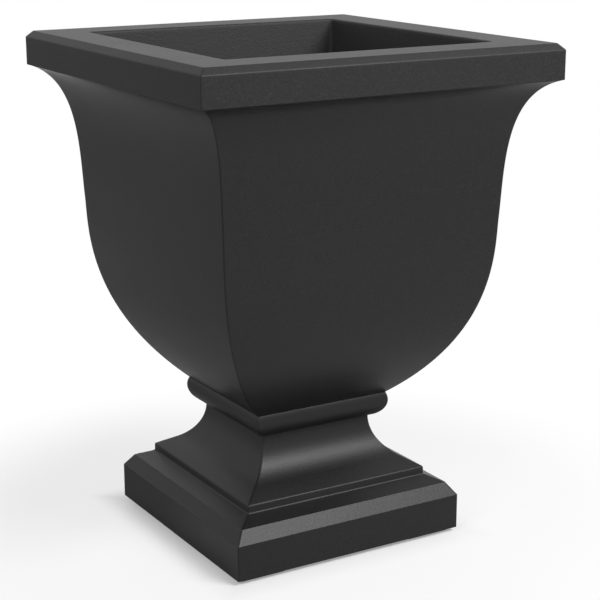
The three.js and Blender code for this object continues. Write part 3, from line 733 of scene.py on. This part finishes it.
    def grow(self, name, section, material, closed=False):
        """Makes the object: the section as a line of points, carried through this tree to a plain mesh"""
        line = bpy.data.meshes.new(name)
        count = len(section)
        edges = [(i, i + 1) for i in range(count - 1)] + ([(count - 1, 0)] if closed else [])
        line.from_pydata([(half, 0, height) for half, height, _ in section], edges, [])
        for column, title in enumerate(("half", "height", "upright")):
            attribute = line.attributes.new(title, "FLOAT", "POINT")
            attribute.data.foreach_set("value", [row[column] for row in section])
        piece = bpy.data.objects.new(name, line)
        bpy.context.scene.collection.objects.link(piece)
        modifier = piece.modifiers.new(self.tree.name, "NODES")
        modifier.node_group = self.tree
        for item in self.tree.interface.items_tree:
            if item.in_out == "INPUT" and item.name in self.values:
                modifier[item.identifier] = self.values[item.name]
            elif item.name == "Material":
                modifier[item.identifier] = material
        evaluated = piece.evaluated_get(bpy.context.evaluated_depsgraph_get())
        mesh = bpy.data.meshes.new_from_object(evaluated)
        mesh.name = name
        piece.modifiers.remove(modifier)
        piece.data = mesh
        for title in ("half", "height", "upright", "around"):
            if title in mesh.attributes:
                mesh.attributes.remove(mesh.attributes[title])
        bpy.data.meshes.remove(line)
        if not mesh.polygons:
            raise RuntimeError(f"{name} came out empty")
        return piece


def settle(piece, body, nodes):
    """The piece rides on its body and stands for its nodes"""
    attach(piece, body)
    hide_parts(*nodes)


def four(name):
    """The names of four like nodes"""
    return [f"{name}_{i}" for i in (1, 2, 3, 4)]


# ---------------------------------------------------------------------------- finishes


class Finish(Graph):
    """A material under construction. Its patterns read Object coordinates, in metres."""

    def __init__(self, name):
        self.material = bpy.data.materials.new(name)
        self.material.use_nodes = True
        super().__init__(self.material.node_tree)
        self.shader = self.tree.nodes["Principled BSDF"]
        self.place = self.node("ShaderNodeTexCoord", output="Object")

    def set(self, **values):
        """Sets the shader's own sockets, with underscores for spaces in their names"""
        for title, value in values.items():
            socket = self.shader.inputs[title.replace("_", " ").title().replace("Ior", "IOR")]
            if isinstance(value, Link):
                self.tree.links.new(value.socket, socket)
            else:
                socket.default_value = value

    def shaded(self, amount, colour, darkening):
        """A colour that varies to a darker or, above 1, a paler shade of itself"""
        return self.blend(amount, colour, [channel * darkening for channel in colour])

    def noise(self, scale, detail=2.0, roughness=0.5, place=None):
        sockets = {"Vector": place or self.place, "Scale": scale, "Detail": detail, "Roughness": roughness}
        return self.node("ShaderNodeTexNoise", sockets, output="Fac")

    def pebbles(self, scale, smoothness=0.6):
        sockets = {"Vector": self.place, "Scale": scale, "Smoothness": smoothness}
        return self.node("ShaderNodeTexVoronoi", sockets, feature="SMOOTH_F1")

    def ramp(self, value, *stops):
        return self.node("ShaderNodeValToRGB", {"Fac": value}, stops=stops)

    def blend(self, amount, first, second):
        """One colour into another, each given as a colour or as a node's output"""
        first, second = [colour if isinstance(colour, Link) else (*colour, 1) for colour in (first, second)]
        return self.node("ShaderNodeMix", {"Factor": amount, 6: first, 7: second}, output=2, data_type="RGBA")

    def square_reach(self):
        """Half the width of the square about the planter's axis that a place lies on"""
        apart = self.node("ShaderNodeSeparateXYZ", {"Vector": self.place})
        return self.maths("MAXIMUM", self.maths("ABSOLUTE", apart), self.maths("ABSOLUTE", apart.output("Y")))

    def facing_out(self):
        """How far a surface faces away from the planter's upright axis, below 0 where it faces the axis"""
        level = self.node("ShaderNodeVectorMath", {0: self.place, 1: (1, 1, 0)}, operation="MULTIPLY")
        sockets = {0: level, 1: self.place.output("Normal")}
        return self.node("ShaderNodeVectorMath", sockets, output="Value", operation="DOT_PRODUCT")

    def eased_range(self, value, start, end, low=0.0):
        """Rises gently from low to 1 as a value goes from start to end"""
        sockets = {"Value": value, "From Min": start, "From Max": end, "To Min": low}
        return self.node("ShaderNodeMapRange", sockets, interpolation_type="SMOOTHSTEP")

    def bump(self, height, strength, distance):
        sockets = {"Height": height, "Strength": strength, "Distance": distance}
        return self.node("ShaderNodeBump", sockets)

    def stretched(self, x, y, z):
        """Coordinates scaled along each axis, for a pattern that runs one way"""
        return self.node("ShaderNodeMapping", {"Vector": self.place, "Scale": (x, y, z)})


def pebbled_skin(finish, colour, grain_colour, roughness, coarseness, gloss):
    """Satin polyethylene with the pebbled skin that a rotational mould leaves"""
    cells = finish.pebbles(scale=430)
    fine = finish.noise(scale=1300, detail=3, roughness=0.6)
    cloud = finish.noise(scale=14, detail=3)
    grain = finish.ramp(finish.noise(scale=620, detail=2), (0.5, 0), (0.74, 1))
    relief = cells * 0.7 + fine * 0.5
    finish.set(
        base_color=finish.blend(grain * (0.2 * coarseness), colour, grain_colour),
        roughness=roughness + cloud * 0.05 + grain * 0.04,
        normal=finish.bump(relief, strength=coarseness * 0.3, distance=0.5 * MM),
        specular_ior_level=gloss,
    )


def charcoal_moulding(finishes):
    """The bowl's and the pedestal's finish"""
    finish = Finish("Charcoal moulding")
    pebbled_skin(finish, finishes.charcoal, finishes.grain, roughness=0.36, coarseness=0.9, gloss=0.205)
    return finish.material


def charcoal_liner(finishes):
    """The liner's finish, more openly grained than the bowl's, and paler and duller inside the well: the
    paleness is painted light on the inner walls, the dullness a scuffed, rougher skin
    """
    finish = Finish("Charcoal liner")
    inside = finish.maths("LESS_THAN", finish.square_reach(), finishes.well_half)
    in_well = inside * finish.maths("LESS_THAN", finish.facing_out(), finishes.least_outward)
    # The paler colour inside the well is painted light on its inner walls. The rougher, coarser skin set
    # below is real scuffing.
    colour = finish.blend(in_well, finishes.collar, finishes.well)
    roughness = in_well * 0.06 + 0.43
    pebbled_skin(finish, colour, finishes.grain, roughness, coarseness=in_well * 1.6 + 1.6, gloss=0.17)
    return finish.material


def black_fitting(finishes):
    """Injection-moulded black plastic, smoother than the mouldings round it"""
    finish = Finish("Black fitting")
    fine = finish.noise(scale=2600, detail=2)
    cloud = finish.noise(scale=40)
    finish.set(
        base_color=finish.shaded(cloud, finishes.black, 1.35),
        roughness=0.38 + cloud * 0.08,
        normal=finish.bump(fine, strength=0.2, distance=0.1 * MM),
    )
    return finish.material


def matte_rubber(finishes):
    """Matte rubber with a dusty bloom"""
    finish = Finish("Matte rubber")
    bloom = finish.noise(scale=180, detail=4, roughness=0.65)
    fine = finish.noise(scale=1900)
    finish.set(
        base_color=finish.shaded(bloom, finishes.rubber, 1.8),
        roughness=0.8 + bloom * 0.12,
        normal=finish.bump(fine, strength=0.4, distance=0.2 * MM),
    )
    return finish.material


def stainless_steel(finishes):
    """Turned and rolled stainless, with fine marks that run round the thread"""
    finish = Finish("Stainless steel")
    marks = finish.noise(scale=1, detail=3, place=finish.stretched(400, 400, 9000))
    cloud = finish.noise(scale=90)
    finish.set(
        base_color=finish.shaded(cloud, finishes.stainless, 0.82),
        metallic=1.0,
        roughness=0.28 + marks * 0.14,
        normal=finish.bump(marks, strength=0.25, distance=0.08 * MM),
    )
    return finish.material


def insert_brass(finishes):
    """Knurled brass"""
    finish = Finish("Insert brass")
    knurl = finish.noise(scale=1, detail=1, place=finish.stretched(1400, 1400, 260))
    finish.set(
        base_color=finish.shaded(knurl, finishes.brass, 0.75),
        metallic=1.0,
        roughness=0.34 + knurl * 0.1,
        normal=finish.bump(knurl, strength=0.5, distance=0.3 * MM),
    )
    return finish.material


def finish_named(build):
    """The finish that a function builds, made once"""
    title = build.__name__.replace("_", " ").capitalize()
    return bpy.data.materials.get(title) or build(bpy.context.scene.urn_planter.finishes)


# ---------------------------------------------------------------------------- pieces


class URN_OT_planting_liner(bpy.types.Operator):
    """Makes the planting liner: the collar, the planting well and its drained floor, in one moulding"""

    bl_idname = "urn.planting_liner"
    bl_label = "Planting Liner"

    def execute(self, context):
        planter = context.scene.urn_planter
        levels = Levels(planter)
        collar, fittings = planter.collar, planter.fittings
        section = liner_section(planter, levels)
        floor_half = section[1][0]
        shape = Shape(
            "Planting liner",
            {
                "Floor": levels.liner_floor,
                "Floor underside": levels.liner_underside,
                "Hole radius": collar.floor_hole,
                "Hole row": floor_half - collar.floor_hole_inset,
                "Cup hole radius": fittings.cup_mouth + fittings.gap,
                "Cup place": levels.cup_place,
            },
        )
        below, above = shape["Floor underside"] - MM, shape["Floor"] + MM
        hole = shape.rod(shape["Hole radius"], below, above, sides=24)
        cup_hole = shape.rod(shape["Cup hole radius"], below, above, sides=64)
        row = shape["Hole row"]
        rows = [shape.on_corners(hole, row)]
        for along in (-0.5, 0, 0.5):
            side = shape.moved(hole, x=row, y=row * along)
            rows.append(shape.spread(side, 0.0, 4, face_out=True))
        moulding = shape.carried_round(planter.edges.corner_steps)
        shape.end(shape.cut(moulding, shape.on_sides(cup_hole, shape["Cup place"]), *rows))
        piece = shape.grow("planting_liner_dressed", eased(section), finish_named(charcoal_liner))
        settle(piece, "liner", ["planting_liner"])
        return {"FINISHED"}


class URN_OT_outer_bowl(bpy.types.Operator):
    """Makes the flared bowl, with its upstand, its bolt bosses and the spigot in its floor"""

    bl_idname = "urn.outer_bowl"
    bl_label = "Outer Bowl"

    def execute(self, context):
        planter = context.scene.urn_planter
        levels = Levels(planter)
        fittings = planter.fittings
        shape = Shape(
            "Outer bowl",
            {
                "Underside": levels.bowl_base,
                "Bolt place": fittings.bolt_place,
                "Pocket radius": fittings.insert_radius + fittings.gap,
                "Pocket top": levels.bowl_base + fittings.insert_height + fittings.gap,
                "Boss wall": planter.bowl.boss_wall,
                "Spigot radius": levels.spigot_radius,
                "Spigot base": levels.spigot_base,
                "Spigot top": levels.spigot_top,
                "Spigot bore": fittings.tube_radius + fittings.gap,
            },
        )
        underside, place, wall = shape["Underside"], shape["Bolt place"], shape["Boss wall"]
        radius, top = shape["Pocket radius"], shape["Pocket top"]
        bosses = shape.on_corners(shape.rod(radius + wall, underside, top + wall), place)
        pockets = shape.on_corners(shape.rod(radius, underside - MM, top), place)
        low, high = shape["Spigot base"], shape["Spigot top"]
        spigot = shape.rod(shape["Spigot radius"], low, high)
        bore = shape.rod(shape["Spigot bore"], low - MM, high + MM)
        moulding = shape.carried_round(planter.edges.corner_steps)
        shape.end(shape.cut(shape.joined(moulding, bosses, spigot), pockets, bore))
        section = eased(bowl_section(planter, levels))
        piece = shape.grow("outer_bowl_dressed", section, finish_named(charcoal_moulding))
        settle(piece, "base", ["outer_bowl"])
        return {"FINISHED"}


class URN_OT_pedestal(bpy.types.Operator):
    """Makes the hollow pedestal: bead, neck, hollow curve, riser, wash and plinth"""

    bl_idname = "urn.pedestal"
    bl_label = "Pedestal"

    def execute(self, context):
        planter = context.scene.urn_planter
        levels = Levels(planter)
        fittings = planter.fittings
        shape = Shape(
            "Pedestal",
            {
                "Deck": levels.bowl_base,
                "Deck underside": levels.deck_underside,
                "Base": levels.plinth_base,
                "Flange top": levels.plinth_base + planter.pedestal.wall,
                "Bolt place": fittings.bolt_place,
                "Bolt hole": fittings.bolt_radius + 2 * fittings.gap,
                "Spigot hole": levels.spigot_radius + fittings.gap,
                "Screw place": levels.pad_place,
                "Screw hole": fittings.screw_radius + fittings.gap,
            },
        )
        below, above = shape["Deck underside"] - MM, shape["Deck"] + MM
        bolt_hole = shape.rod(shape["Bolt hole"], below, above, sides=32)
        spigot_hole = shape.rod(shape["Spigot hole"], below, above)
        screw_hole = shape.rod(shape["Screw hole"], shape["Base"] - MM, shape["Flange top"] + MM, sides=24)
        bolt_holes = shape.on_corners(bolt_hole, shape["Bolt place"])
        screw_holes = shape.on_corners(screw_hole, shape["Screw place"])
        moulding = shape.carried_round(planter.edges.corner_steps)
        shape.end(shape.cut(moulding, bolt_holes, spigot_hole, screw_holes))
        section = eased(pedestal_section(planter, levels))
        piece = shape.grow("pedestal_dressed", section, finish_named(charcoal_moulding))
        settle(piece, "base", ["pedestal"])
        return {"FINISHED"}


def turned(points, edge=0.0, closed=False):
    """A section for a turned piece: its upright corners are so wide that they make circles"""
    return eased(corners(points, 1.0, edge), closed)


class URN_OT_wick_cups(bpy.types.Operator):
    """Makes the four slotted wick cups, which reach from the soil down into the water"""

    bl_idname = "urn.wick_cups"
    bl_label = "Wick Cups"

    def execute(self, context):
        planter = context.scene.urn_planter
        levels = Levels(planter)
        fittings = planter.fittings
        shape = Shape(
            "Wick cups",
            {
                "Place": levels.cup_place,
                "Width": 2 * (fittings.cup_mouth + fittings.cup_flange),
                "Slot width": fittings.cup_slot,
                "Slot base": levels.cup_base + fittings.cup_slot_margin,
                "Slot top": levels.liner_underside - fittings.cup_slot_margin,
                "Drain": fittings.cup_drain,
                "Base": levels.cup_base,
                "Wall": fittings.cup_wall,
            },
        )
        cup = shape.carried_round(planter.edges.turned_steps)
        low, high, base = shape["Slot base"], shape["Slot top"], shape["Base"]
        slot = shape.moved(shape.block(shape["Width"], shape["Slot width"], high - low), z=(low + high) * 0.5)
        slots = [shape.moved(slot, turn=i * math.pi / 4) for i in range(4)]
        drain = shape.rod(shape["Drain"], base - MM, base + shape["Wall"] + MM, sides=32)
        shape.end(shape.on_sides(shape.cut(cup, *slots, drain), shape["Place"]))
        flange = fittings.cup_mouth + fittings.cup_flange
        flange_top = levels.liner_floor + fittings.cup_flange_height
        inside_floor = levels.cup_base + fittings.cup_wall
        section = turned(
            [
                (0, inside_floor),
                (fittings.cup_base - fittings.cup_wall, inside_floor),
                (fittings.cup_mouth - fittings.cup_wall, flange_top),
                (flange, flange_top),
                (flange, levels.liner_floor),
                (fittings.cup_mouth, levels.liner_floor),
                (fittings.cup_base, levels.cup_base),
                (0, levels.cup_base),
            ],
            edge=fittings.cup_edge,
        )
        piece = shape.grow("wick_cups_dressed", section, finish_named(black_fitting))
        settle(piece, "liner", four("wick_cup"))
        return {"FINISHED"}


class URN_OT_overflow_tube(bpy.types.Operator):
    """Makes the overflow tube with its notched mouth and scalloped grip, and the seal above the grip"""

    bl_idname = "urn.overflow_tube"
    bl_label = "Overflow Tube"

    def execute(self, context):
        planter = context.scene.urn_planter
        levels = Levels(planter)
        grip_top = levels.spigot_base - planter.fittings.seal
        self.tube(planter, levels, grip_top)
        self.seal(planter, levels, grip_top)
        return {"FINISHED"}

    def tube(self, planter, levels, grip_top):
        fittings = planter.fittings
        grip_base = grip_top - fittings.grip_height
        bore = fittings.tube_radius - fittings.tube_wall
        shape = Shape(
            "Overflow tube",
            {
                "Mouth": levels.tube_top,
                "Grip base": grip_base,
                "Grip top": grip_top,
                "Grip radius": fittings.grip_radius,
                "Scallop": fittings.scallop,
                "Notch width": fittings.notch_width,
                "Notch depth": fittings.notch_depth,
            },
        )
        tube = shape.carried_round(planter.edges.turned_steps)
        grip, scallop = shape["Grip radius"], shape["Scallop"]
        groove = shape.rod(scallop, shape["Grip base"] - MM, shape["Grip top"] + MM, sides=32)
        grooves = shape.spread(groove, grip + scallop * 0.5, fittings.scallops)
        notch = shape.block(grip * 2, shape["Notch width"], shape["Notch depth"] * 2)
        notch = shape.moved(notch, z=shape["Mouth"])
        shape.end(shape.cut(tube, grooves, notch, shape.moved(notch, turn=math.pi / 2)))
        section = turned(
            [
                (bore, levels.tube_top),
                (fittings.tube_radius, levels.tube_top),
                (fittings.tube_radius, grip_top),
                (fittings.grip_radius, grip_top),
                (fittings.grip_radius, grip_base),
                (bore, grip_base),
            ],
            edge=fittings.tube_edge,
            closed=True,
        )
        piece = shape.grow("overflow_tube_dressed", section, finish_named(black_fitting), closed=True)
        settle(piece, "overflow", ["overflow_tube"])

    def seal(self, planter, levels, grip_top):
        shape = Shape("Tube seal", {})
        shape.end(shape.carried_round(planter.edges.turned_steps))
        bore = planter.fittings.tube_radius + planter.fittings.gap
        section = turned(
            [
                (bore, levels.spigot_base),
                (levels.spigot_radius, levels.spigot_base),
                (levels.spigot_radius, grip_top),
                (bore, grip_top),
            ],
            edge=planter.fittings.seal_edge,
            closed=True,
        )
        piece = shape.grow("tube_seal_dressed", section, finish_named(matte_rubber), closed=True)
        settle(piece, "overflow", ["tube_seal"])


class URN_OT_fasteners(bpy.types.Operator):
    """Makes the four bolts that hold the bowl on the pedestal, with their washers and threaded inserts"""

    bl_idname = "urn.fasteners"
    bl_label = "Bolts, Washers and Inserts"

    def execute(self, context):
        planter = context.scene.urn_planter
        levels = Levels(planter)
        fittings = planter.fittings
        washer_base = levels.deck_underside - fittings.washer
        insert_top = levels.bowl_base + fittings.insert_height
        washer = (fittings.washer_radius, washer_base, levels.deck_underside)
        insert = (fittings.insert_radius, levels.bowl_base, insert_top)
        self.bolts(planter, levels, washer_base)
        self.rings(planter, "bolt_washer", washer, stainless_steel, "stainless_fasteners")
        self.rings(planter, "threaded_insert", insert, insert_brass, "insert_brass")
        return {"FINISHED"}

    def bolts(self, planter, levels, head_top):
        """Hexagon heads, chamfered by a turned blank that the hexagon trims, and plain shanks"""
        fittings = planter.fittings
        head_base = head_top - fittings.bolt_head
        tip = levels.bowl_base + fittings.bolt_reach
        corner = fittings.bolt_flats / math.sqrt(3)
        sizes = {"Place": fittings.bolt_place, "Corner": corner, "Head base": head_base, "Tip": tip}
        shape = Shape("Pedestal bolts", sizes)
        blank = shape.carried_round(planter.edges.turned_steps)
        prism = shape.rod(shape["Corner"], shape["Head base"] - MM, shape["Tip"] + MM, sides=6)
        shape.end(shape.on_corners(shape.shared(blank, prism), shape["Place"]))
        chamfer = corner - fittings.bolt_flats / 2
        radius = fittings.bolt_radius
        section = turned(
            [
                (0, tip),
                (radius - MM, tip),
                (radius, tip - MM),
                (radius, head_top),
                (corner, head_top),
                (corner, head_base + chamfer / 2),
                (corner - chamfer, head_base),
                (0, head_base),
            ]
        )
        piece = shape.grow("pedestal_bolts_dressed", section, finish_named(stainless_steel))
        settle(piece, "base", four("pedestal_bolt"))

    def rings(self, planter, node, ring, build, slot):
        """Four turned rings round the bolts, each given by its radius, its base and its top"""
        fittings = planter.fittings
        bore = fittings.bolt_radius + fittings.gap
        radius, low, high = ring
        shape = Shape(node.replace("_", " ").capitalize(), {"Place": fittings.bolt_place})
        shape.end(shape.on_corners(shape.carried_round(planter.edges.turned_steps), shape["Place"]))
        outline = [(bore, high), (radius, high), (radius, low), (bore, low)]
        section = turned(outline, edge=fittings.ring_edge, closed=True)
        piece = shape.grow(f"{node}s_dressed", section, finish_named(build), closed=True)
        settle(piece, "base", four(node))


class URN_OT_feet(bpy.types.Operator):
    """Makes the four corner pads that the planter stands on, and their screws"""

    bl_idname = "urn.feet"
    bl_label = "Foot Pads and Screws"

    def execute(self, context):
        planter = context.scene.urn_planter
        levels = Levels(planter)
        self.pads(planter, levels)
        self.screws(planter, levels)
        return {"FINISHED"}

    def pads(self, planter, levels):
        fittings, edges = planter.fittings, planter.edges
        shape = Shape(
            "Foot pads",
            {
                "Place": levels.pad_place,
                "Top": fittings.pad_height,
                "Seat": fittings.screw_seat,
                "Pocket": fittings.screw_pocket,
                "Hole": fittings.screw_radius + fittings.gap,
            },
        )
        pad = shape.carried_round(edges.corner_steps)
        pocket = shape.rod(shape["Pocket"], -MM, shape["Seat"])
        hole = shape.rod(shape["Hole"], shape["Seat"] - MM, shape["Top"] + MM, sides=24)
        shape.end(shape.on_corners(shape.cut(pad, pocket, hole), shape["Place"]))
        half = fittings.pad_width / 2
        section = eased(
            [
                (0, fittings.pad_height, 0, edges.upright),
                (half, fittings.pad_height, edges.crisp / 2, edges.upright),
                (half, fittings.pad_bevel, edges.crisp, edges.upright),
                (half - fittings.pad_bevel, 0, edges.crisp, edges.upright),
                (0, 0, 0, edges.upright),
            ]
        )
        piece = shape.grow("foot_pads_dressed", section, finish_named(matte_rubber))
        settle(piece, "base", four("foot_pad"))

    def screws(self, planter, levels):
        fittings = planter.fittings
        head_base = fittings.screw_seat - fittings.screw_head_height
        shape = Shape(
            "Foot screws",
            {
                "Place": levels.pad_place,
                "Head base": head_base,
                "Recess": fittings.screw_recess,
                "Recess width": fittings.screw_recess_width,
                "Recess depth": fittings.screw_recess_depth,
            },
        )
        blank = shape.carried_round(planter.edges.screw_steps)
        bar = shape.block(shape["Recess"], shape["Recess width"], shape["Recess depth"] * 2)
        bar = shape.moved(bar, z=shape["Head base"])
        recessed = shape.cut(blank, bar, shape.moved(bar, turn=math.pi / 2))
        shape.end(shape.on_corners(recessed, shape["Place"]))
        head, shank = fittings.screw_head, fittings.screw_radius
        tip = fittings.screw_seat + fittings.screw_length
        section = turned(
            [
                (0, tip),
                (shank, tip - shank),
                (shank, fittings.screw_seat),
                (head, fittings.screw_seat),
                (head, head_base + MM),
                (head - MM, head_base),
                (0, head_base),
            ]
        )
        piece = shape.grow("foot_screws_dressed", section, finish_named(stainless_steel))
        settle(piece, "base", four("foot_screw"))


# ---------------------------------------------------------------------------- studio


class URN_OT_studio(bpy.types.Operator):
    """Makes the camera, the pale floor, the white surroundings and the softboxes"""

    bl_idname = "urn.studio"
    bl_label = "Studio"

    def execute(self, context):
        studio = context.scene.urn_planter.studio
        context.scene.view_settings.view_transform = "Standard"
        self.camera(context, studio)
        self.floor(context, studio)
        self.surroundings(context, studio)
        aim = studio.light_aim
        key = (studio.softbox_width, studio.softbox_height, studio.softbox)
        fill = (studio.fill_width, studio.fill_width, studio.fill)
        rear = (studio.rear_width, studio.rear_height, studio.rear)
        self.light(context, "Softbox", studio.softbox_place, aim, *key)
        self.light(context, "Fill", studio.fill_place, aim, *fill)
        for name, place in (("Rear left", studio.rear_left_place), ("Rear right", studio.rear_right_place)):
            lamp = self.light(context, name, place, aim, *rear)
            lamp.visible_camera = False
        return {"FINISHED"}

    def light(self, context, name, place, aim, width, height, watts):
        """A rectangular softbox that faces its aim"""
        light = bpy.data.lights.new(name, "AREA")
        light.shape = "RECTANGLE"
        light.size = width
        light.size_y = height
        light.energy = watts
        lamp = bpy.data.objects.new(name, light)
        lamp.location = place
        lamp.rotation_euler = (Vector(aim) - Vector(place)).to_track_quat("-Z", "Y").to_euler()
        context.scene.collection.objects.link(lamp)
        return lamp

    def camera(self, context, studio):
        lens = bpy.data.cameras.new("Camera")
        lens.sensor_fit = "HORIZONTAL"
        lens.sensor_width = studio.sensor_width
        lens.lens = studio.focal_length
        camera = bpy.data.objects.new("Camera", lens)
        camera.location = studio.camera_place
        aim = Euler((math.pi / 2 - studio.camera_dip, 0, studio.camera_turn)).to_matrix()
        roll = Euler((0, 0, studio.camera_roll)).to_matrix()
        camera.rotation_euler = (aim @ roll).to_euler()
        context.scene.collection.objects.link(camera)
        context.scene.camera = camera

    def floor(self, context, studio):
        half = studio.floor_size / 2
        places = [(-half, -half, 0), (half, -half, 0), (half, half, 0), (-half, half, 0)]
        mesh = bpy.data.meshes.new("studio_floor")
        mesh.from_pydata(places, [], [(0, 1, 2, 3)])
        mesh.materials.append(self.floor_finish(studio))
        floor = bpy.data.objects.new("studio_floor", mesh)
        context.scene.collection.objects.link(floor)

    def floor_finish(self, studio):
        """A plain pale floor that turns white away from the planter. Near it the glow is lowered, which
        paints a soft shade round and under the planter, and the lamps' real shadow shows there too
        """
        finish = Finish("Studio floor")
        finish.set(base_color=(*studio.floor_colour, 1), roughness=0.6, specular_ior_level=0.2)
        lit = Link(finish, finish.shader.outputs["BSDF"])
        glow = finish.node("ShaderNodeEmission", {"Color": WHITE, "Strength": 1.0})
        distance = finish.node("ShaderNodeVectorMath", {0: finish.place}, output="Value", operation="LENGTH")
        # The lowered glow near the planter is painted shade. The lamps' real shadow shows through it.
        far = finish.eased_range(distance, studio.shade_reach, studio.white_reach, studio.floor_glow)
        reach = finish.square_reach()
        near = finish.eased_range(reach, studio.contact_start, studio.contact_end, studio.contact_glow)
        glowing = finish.is_seen(studio.floor_in_gloss) * near * far
        mixed = finish.node("ShaderNodeMixShader", {0: glowing, 1: lit, 2: glow})
        finish.tree.links.new(mixed.socket, finish.tree.nodes["Material Output"].inputs["Surface"])
        return finish.material

    def surroundings(self, context, studio):
        world = bpy.data.worlds.new("Studio")
        world.use_nodes = True
        context.scene.world = world
        graph = Graph(world.node_tree)
        light = graph.node("ShaderNodeBackground", {"Color": WHITE, "Strength": studio.ambient})
        seen = graph.node("ShaderNodeBackground", {"Color": WHITE, "Strength": 1.0})
        mixed = graph.node("ShaderNodeMixShader", {0: graph.is_seen(), 1: light, 2: seen})
        graph.tree.links.new(mixed.socket, world.node_tree.nodes["World Output"].inputs["Surface"])


# ---------------------------------------------------------------------------- panel and main


class URN_PT_planter(bpy.types.Panel):
    """Lists the planter's pieces and the studio"""

    bl_idname = "URN_PT_planter"
    bl_label = "Square Urn Planter"
    bl_space_type = "VIEW_3D"
    bl_region_type = "UI"
    bl_category = "Planter"

    def draw(self, context):
        for operator in OPERATORS:
            self.layout.operator(operator.bl_idname)


OPERATORS = (
    URN_OT_studio,
    URN_OT_planting_liner,
    URN_OT_outer_bowl,
    URN_OT_pedestal,
    URN_OT_wick_cups,
    URN_OT_overflow_tube,
    URN_OT_fasteners,
    URN_OT_feet,
)

CLASSES = (
    CollarSettings,
    BowlSettings,
    PedestalSettings,
    EdgeSettings,
    FittingSettings,
    FinishSettings,
    StudioSettings,
    PlanterSettings,
    *OPERATORS,
    URN_PT_planter,
)


def register():
    for item in CLASSES:
        bpy.utils.register_class(item)
    bpy.types.Scene.urn_planter = PointerProperty(type=PlanterSettings)


def unregister():
    del bpy.types.Scene.urn_planter
    for item in reversed(CLASSES):
        bpy.utils.unregister_class(item)


def main():
    register()
    bpy.ops.urn.studio()
    bpy.ops.urn.planting_liner()
    bpy.ops.urn.outer_bowl()
    bpy.ops.urn.pedestal()
    bpy.ops.urn.wick_cups()
    bpy.ops.urn.overflow_tube()
    bpy.ops.urn.fasteners()
    bpy.ops.urn.feet()


if __name__ == "__main__":
    main()
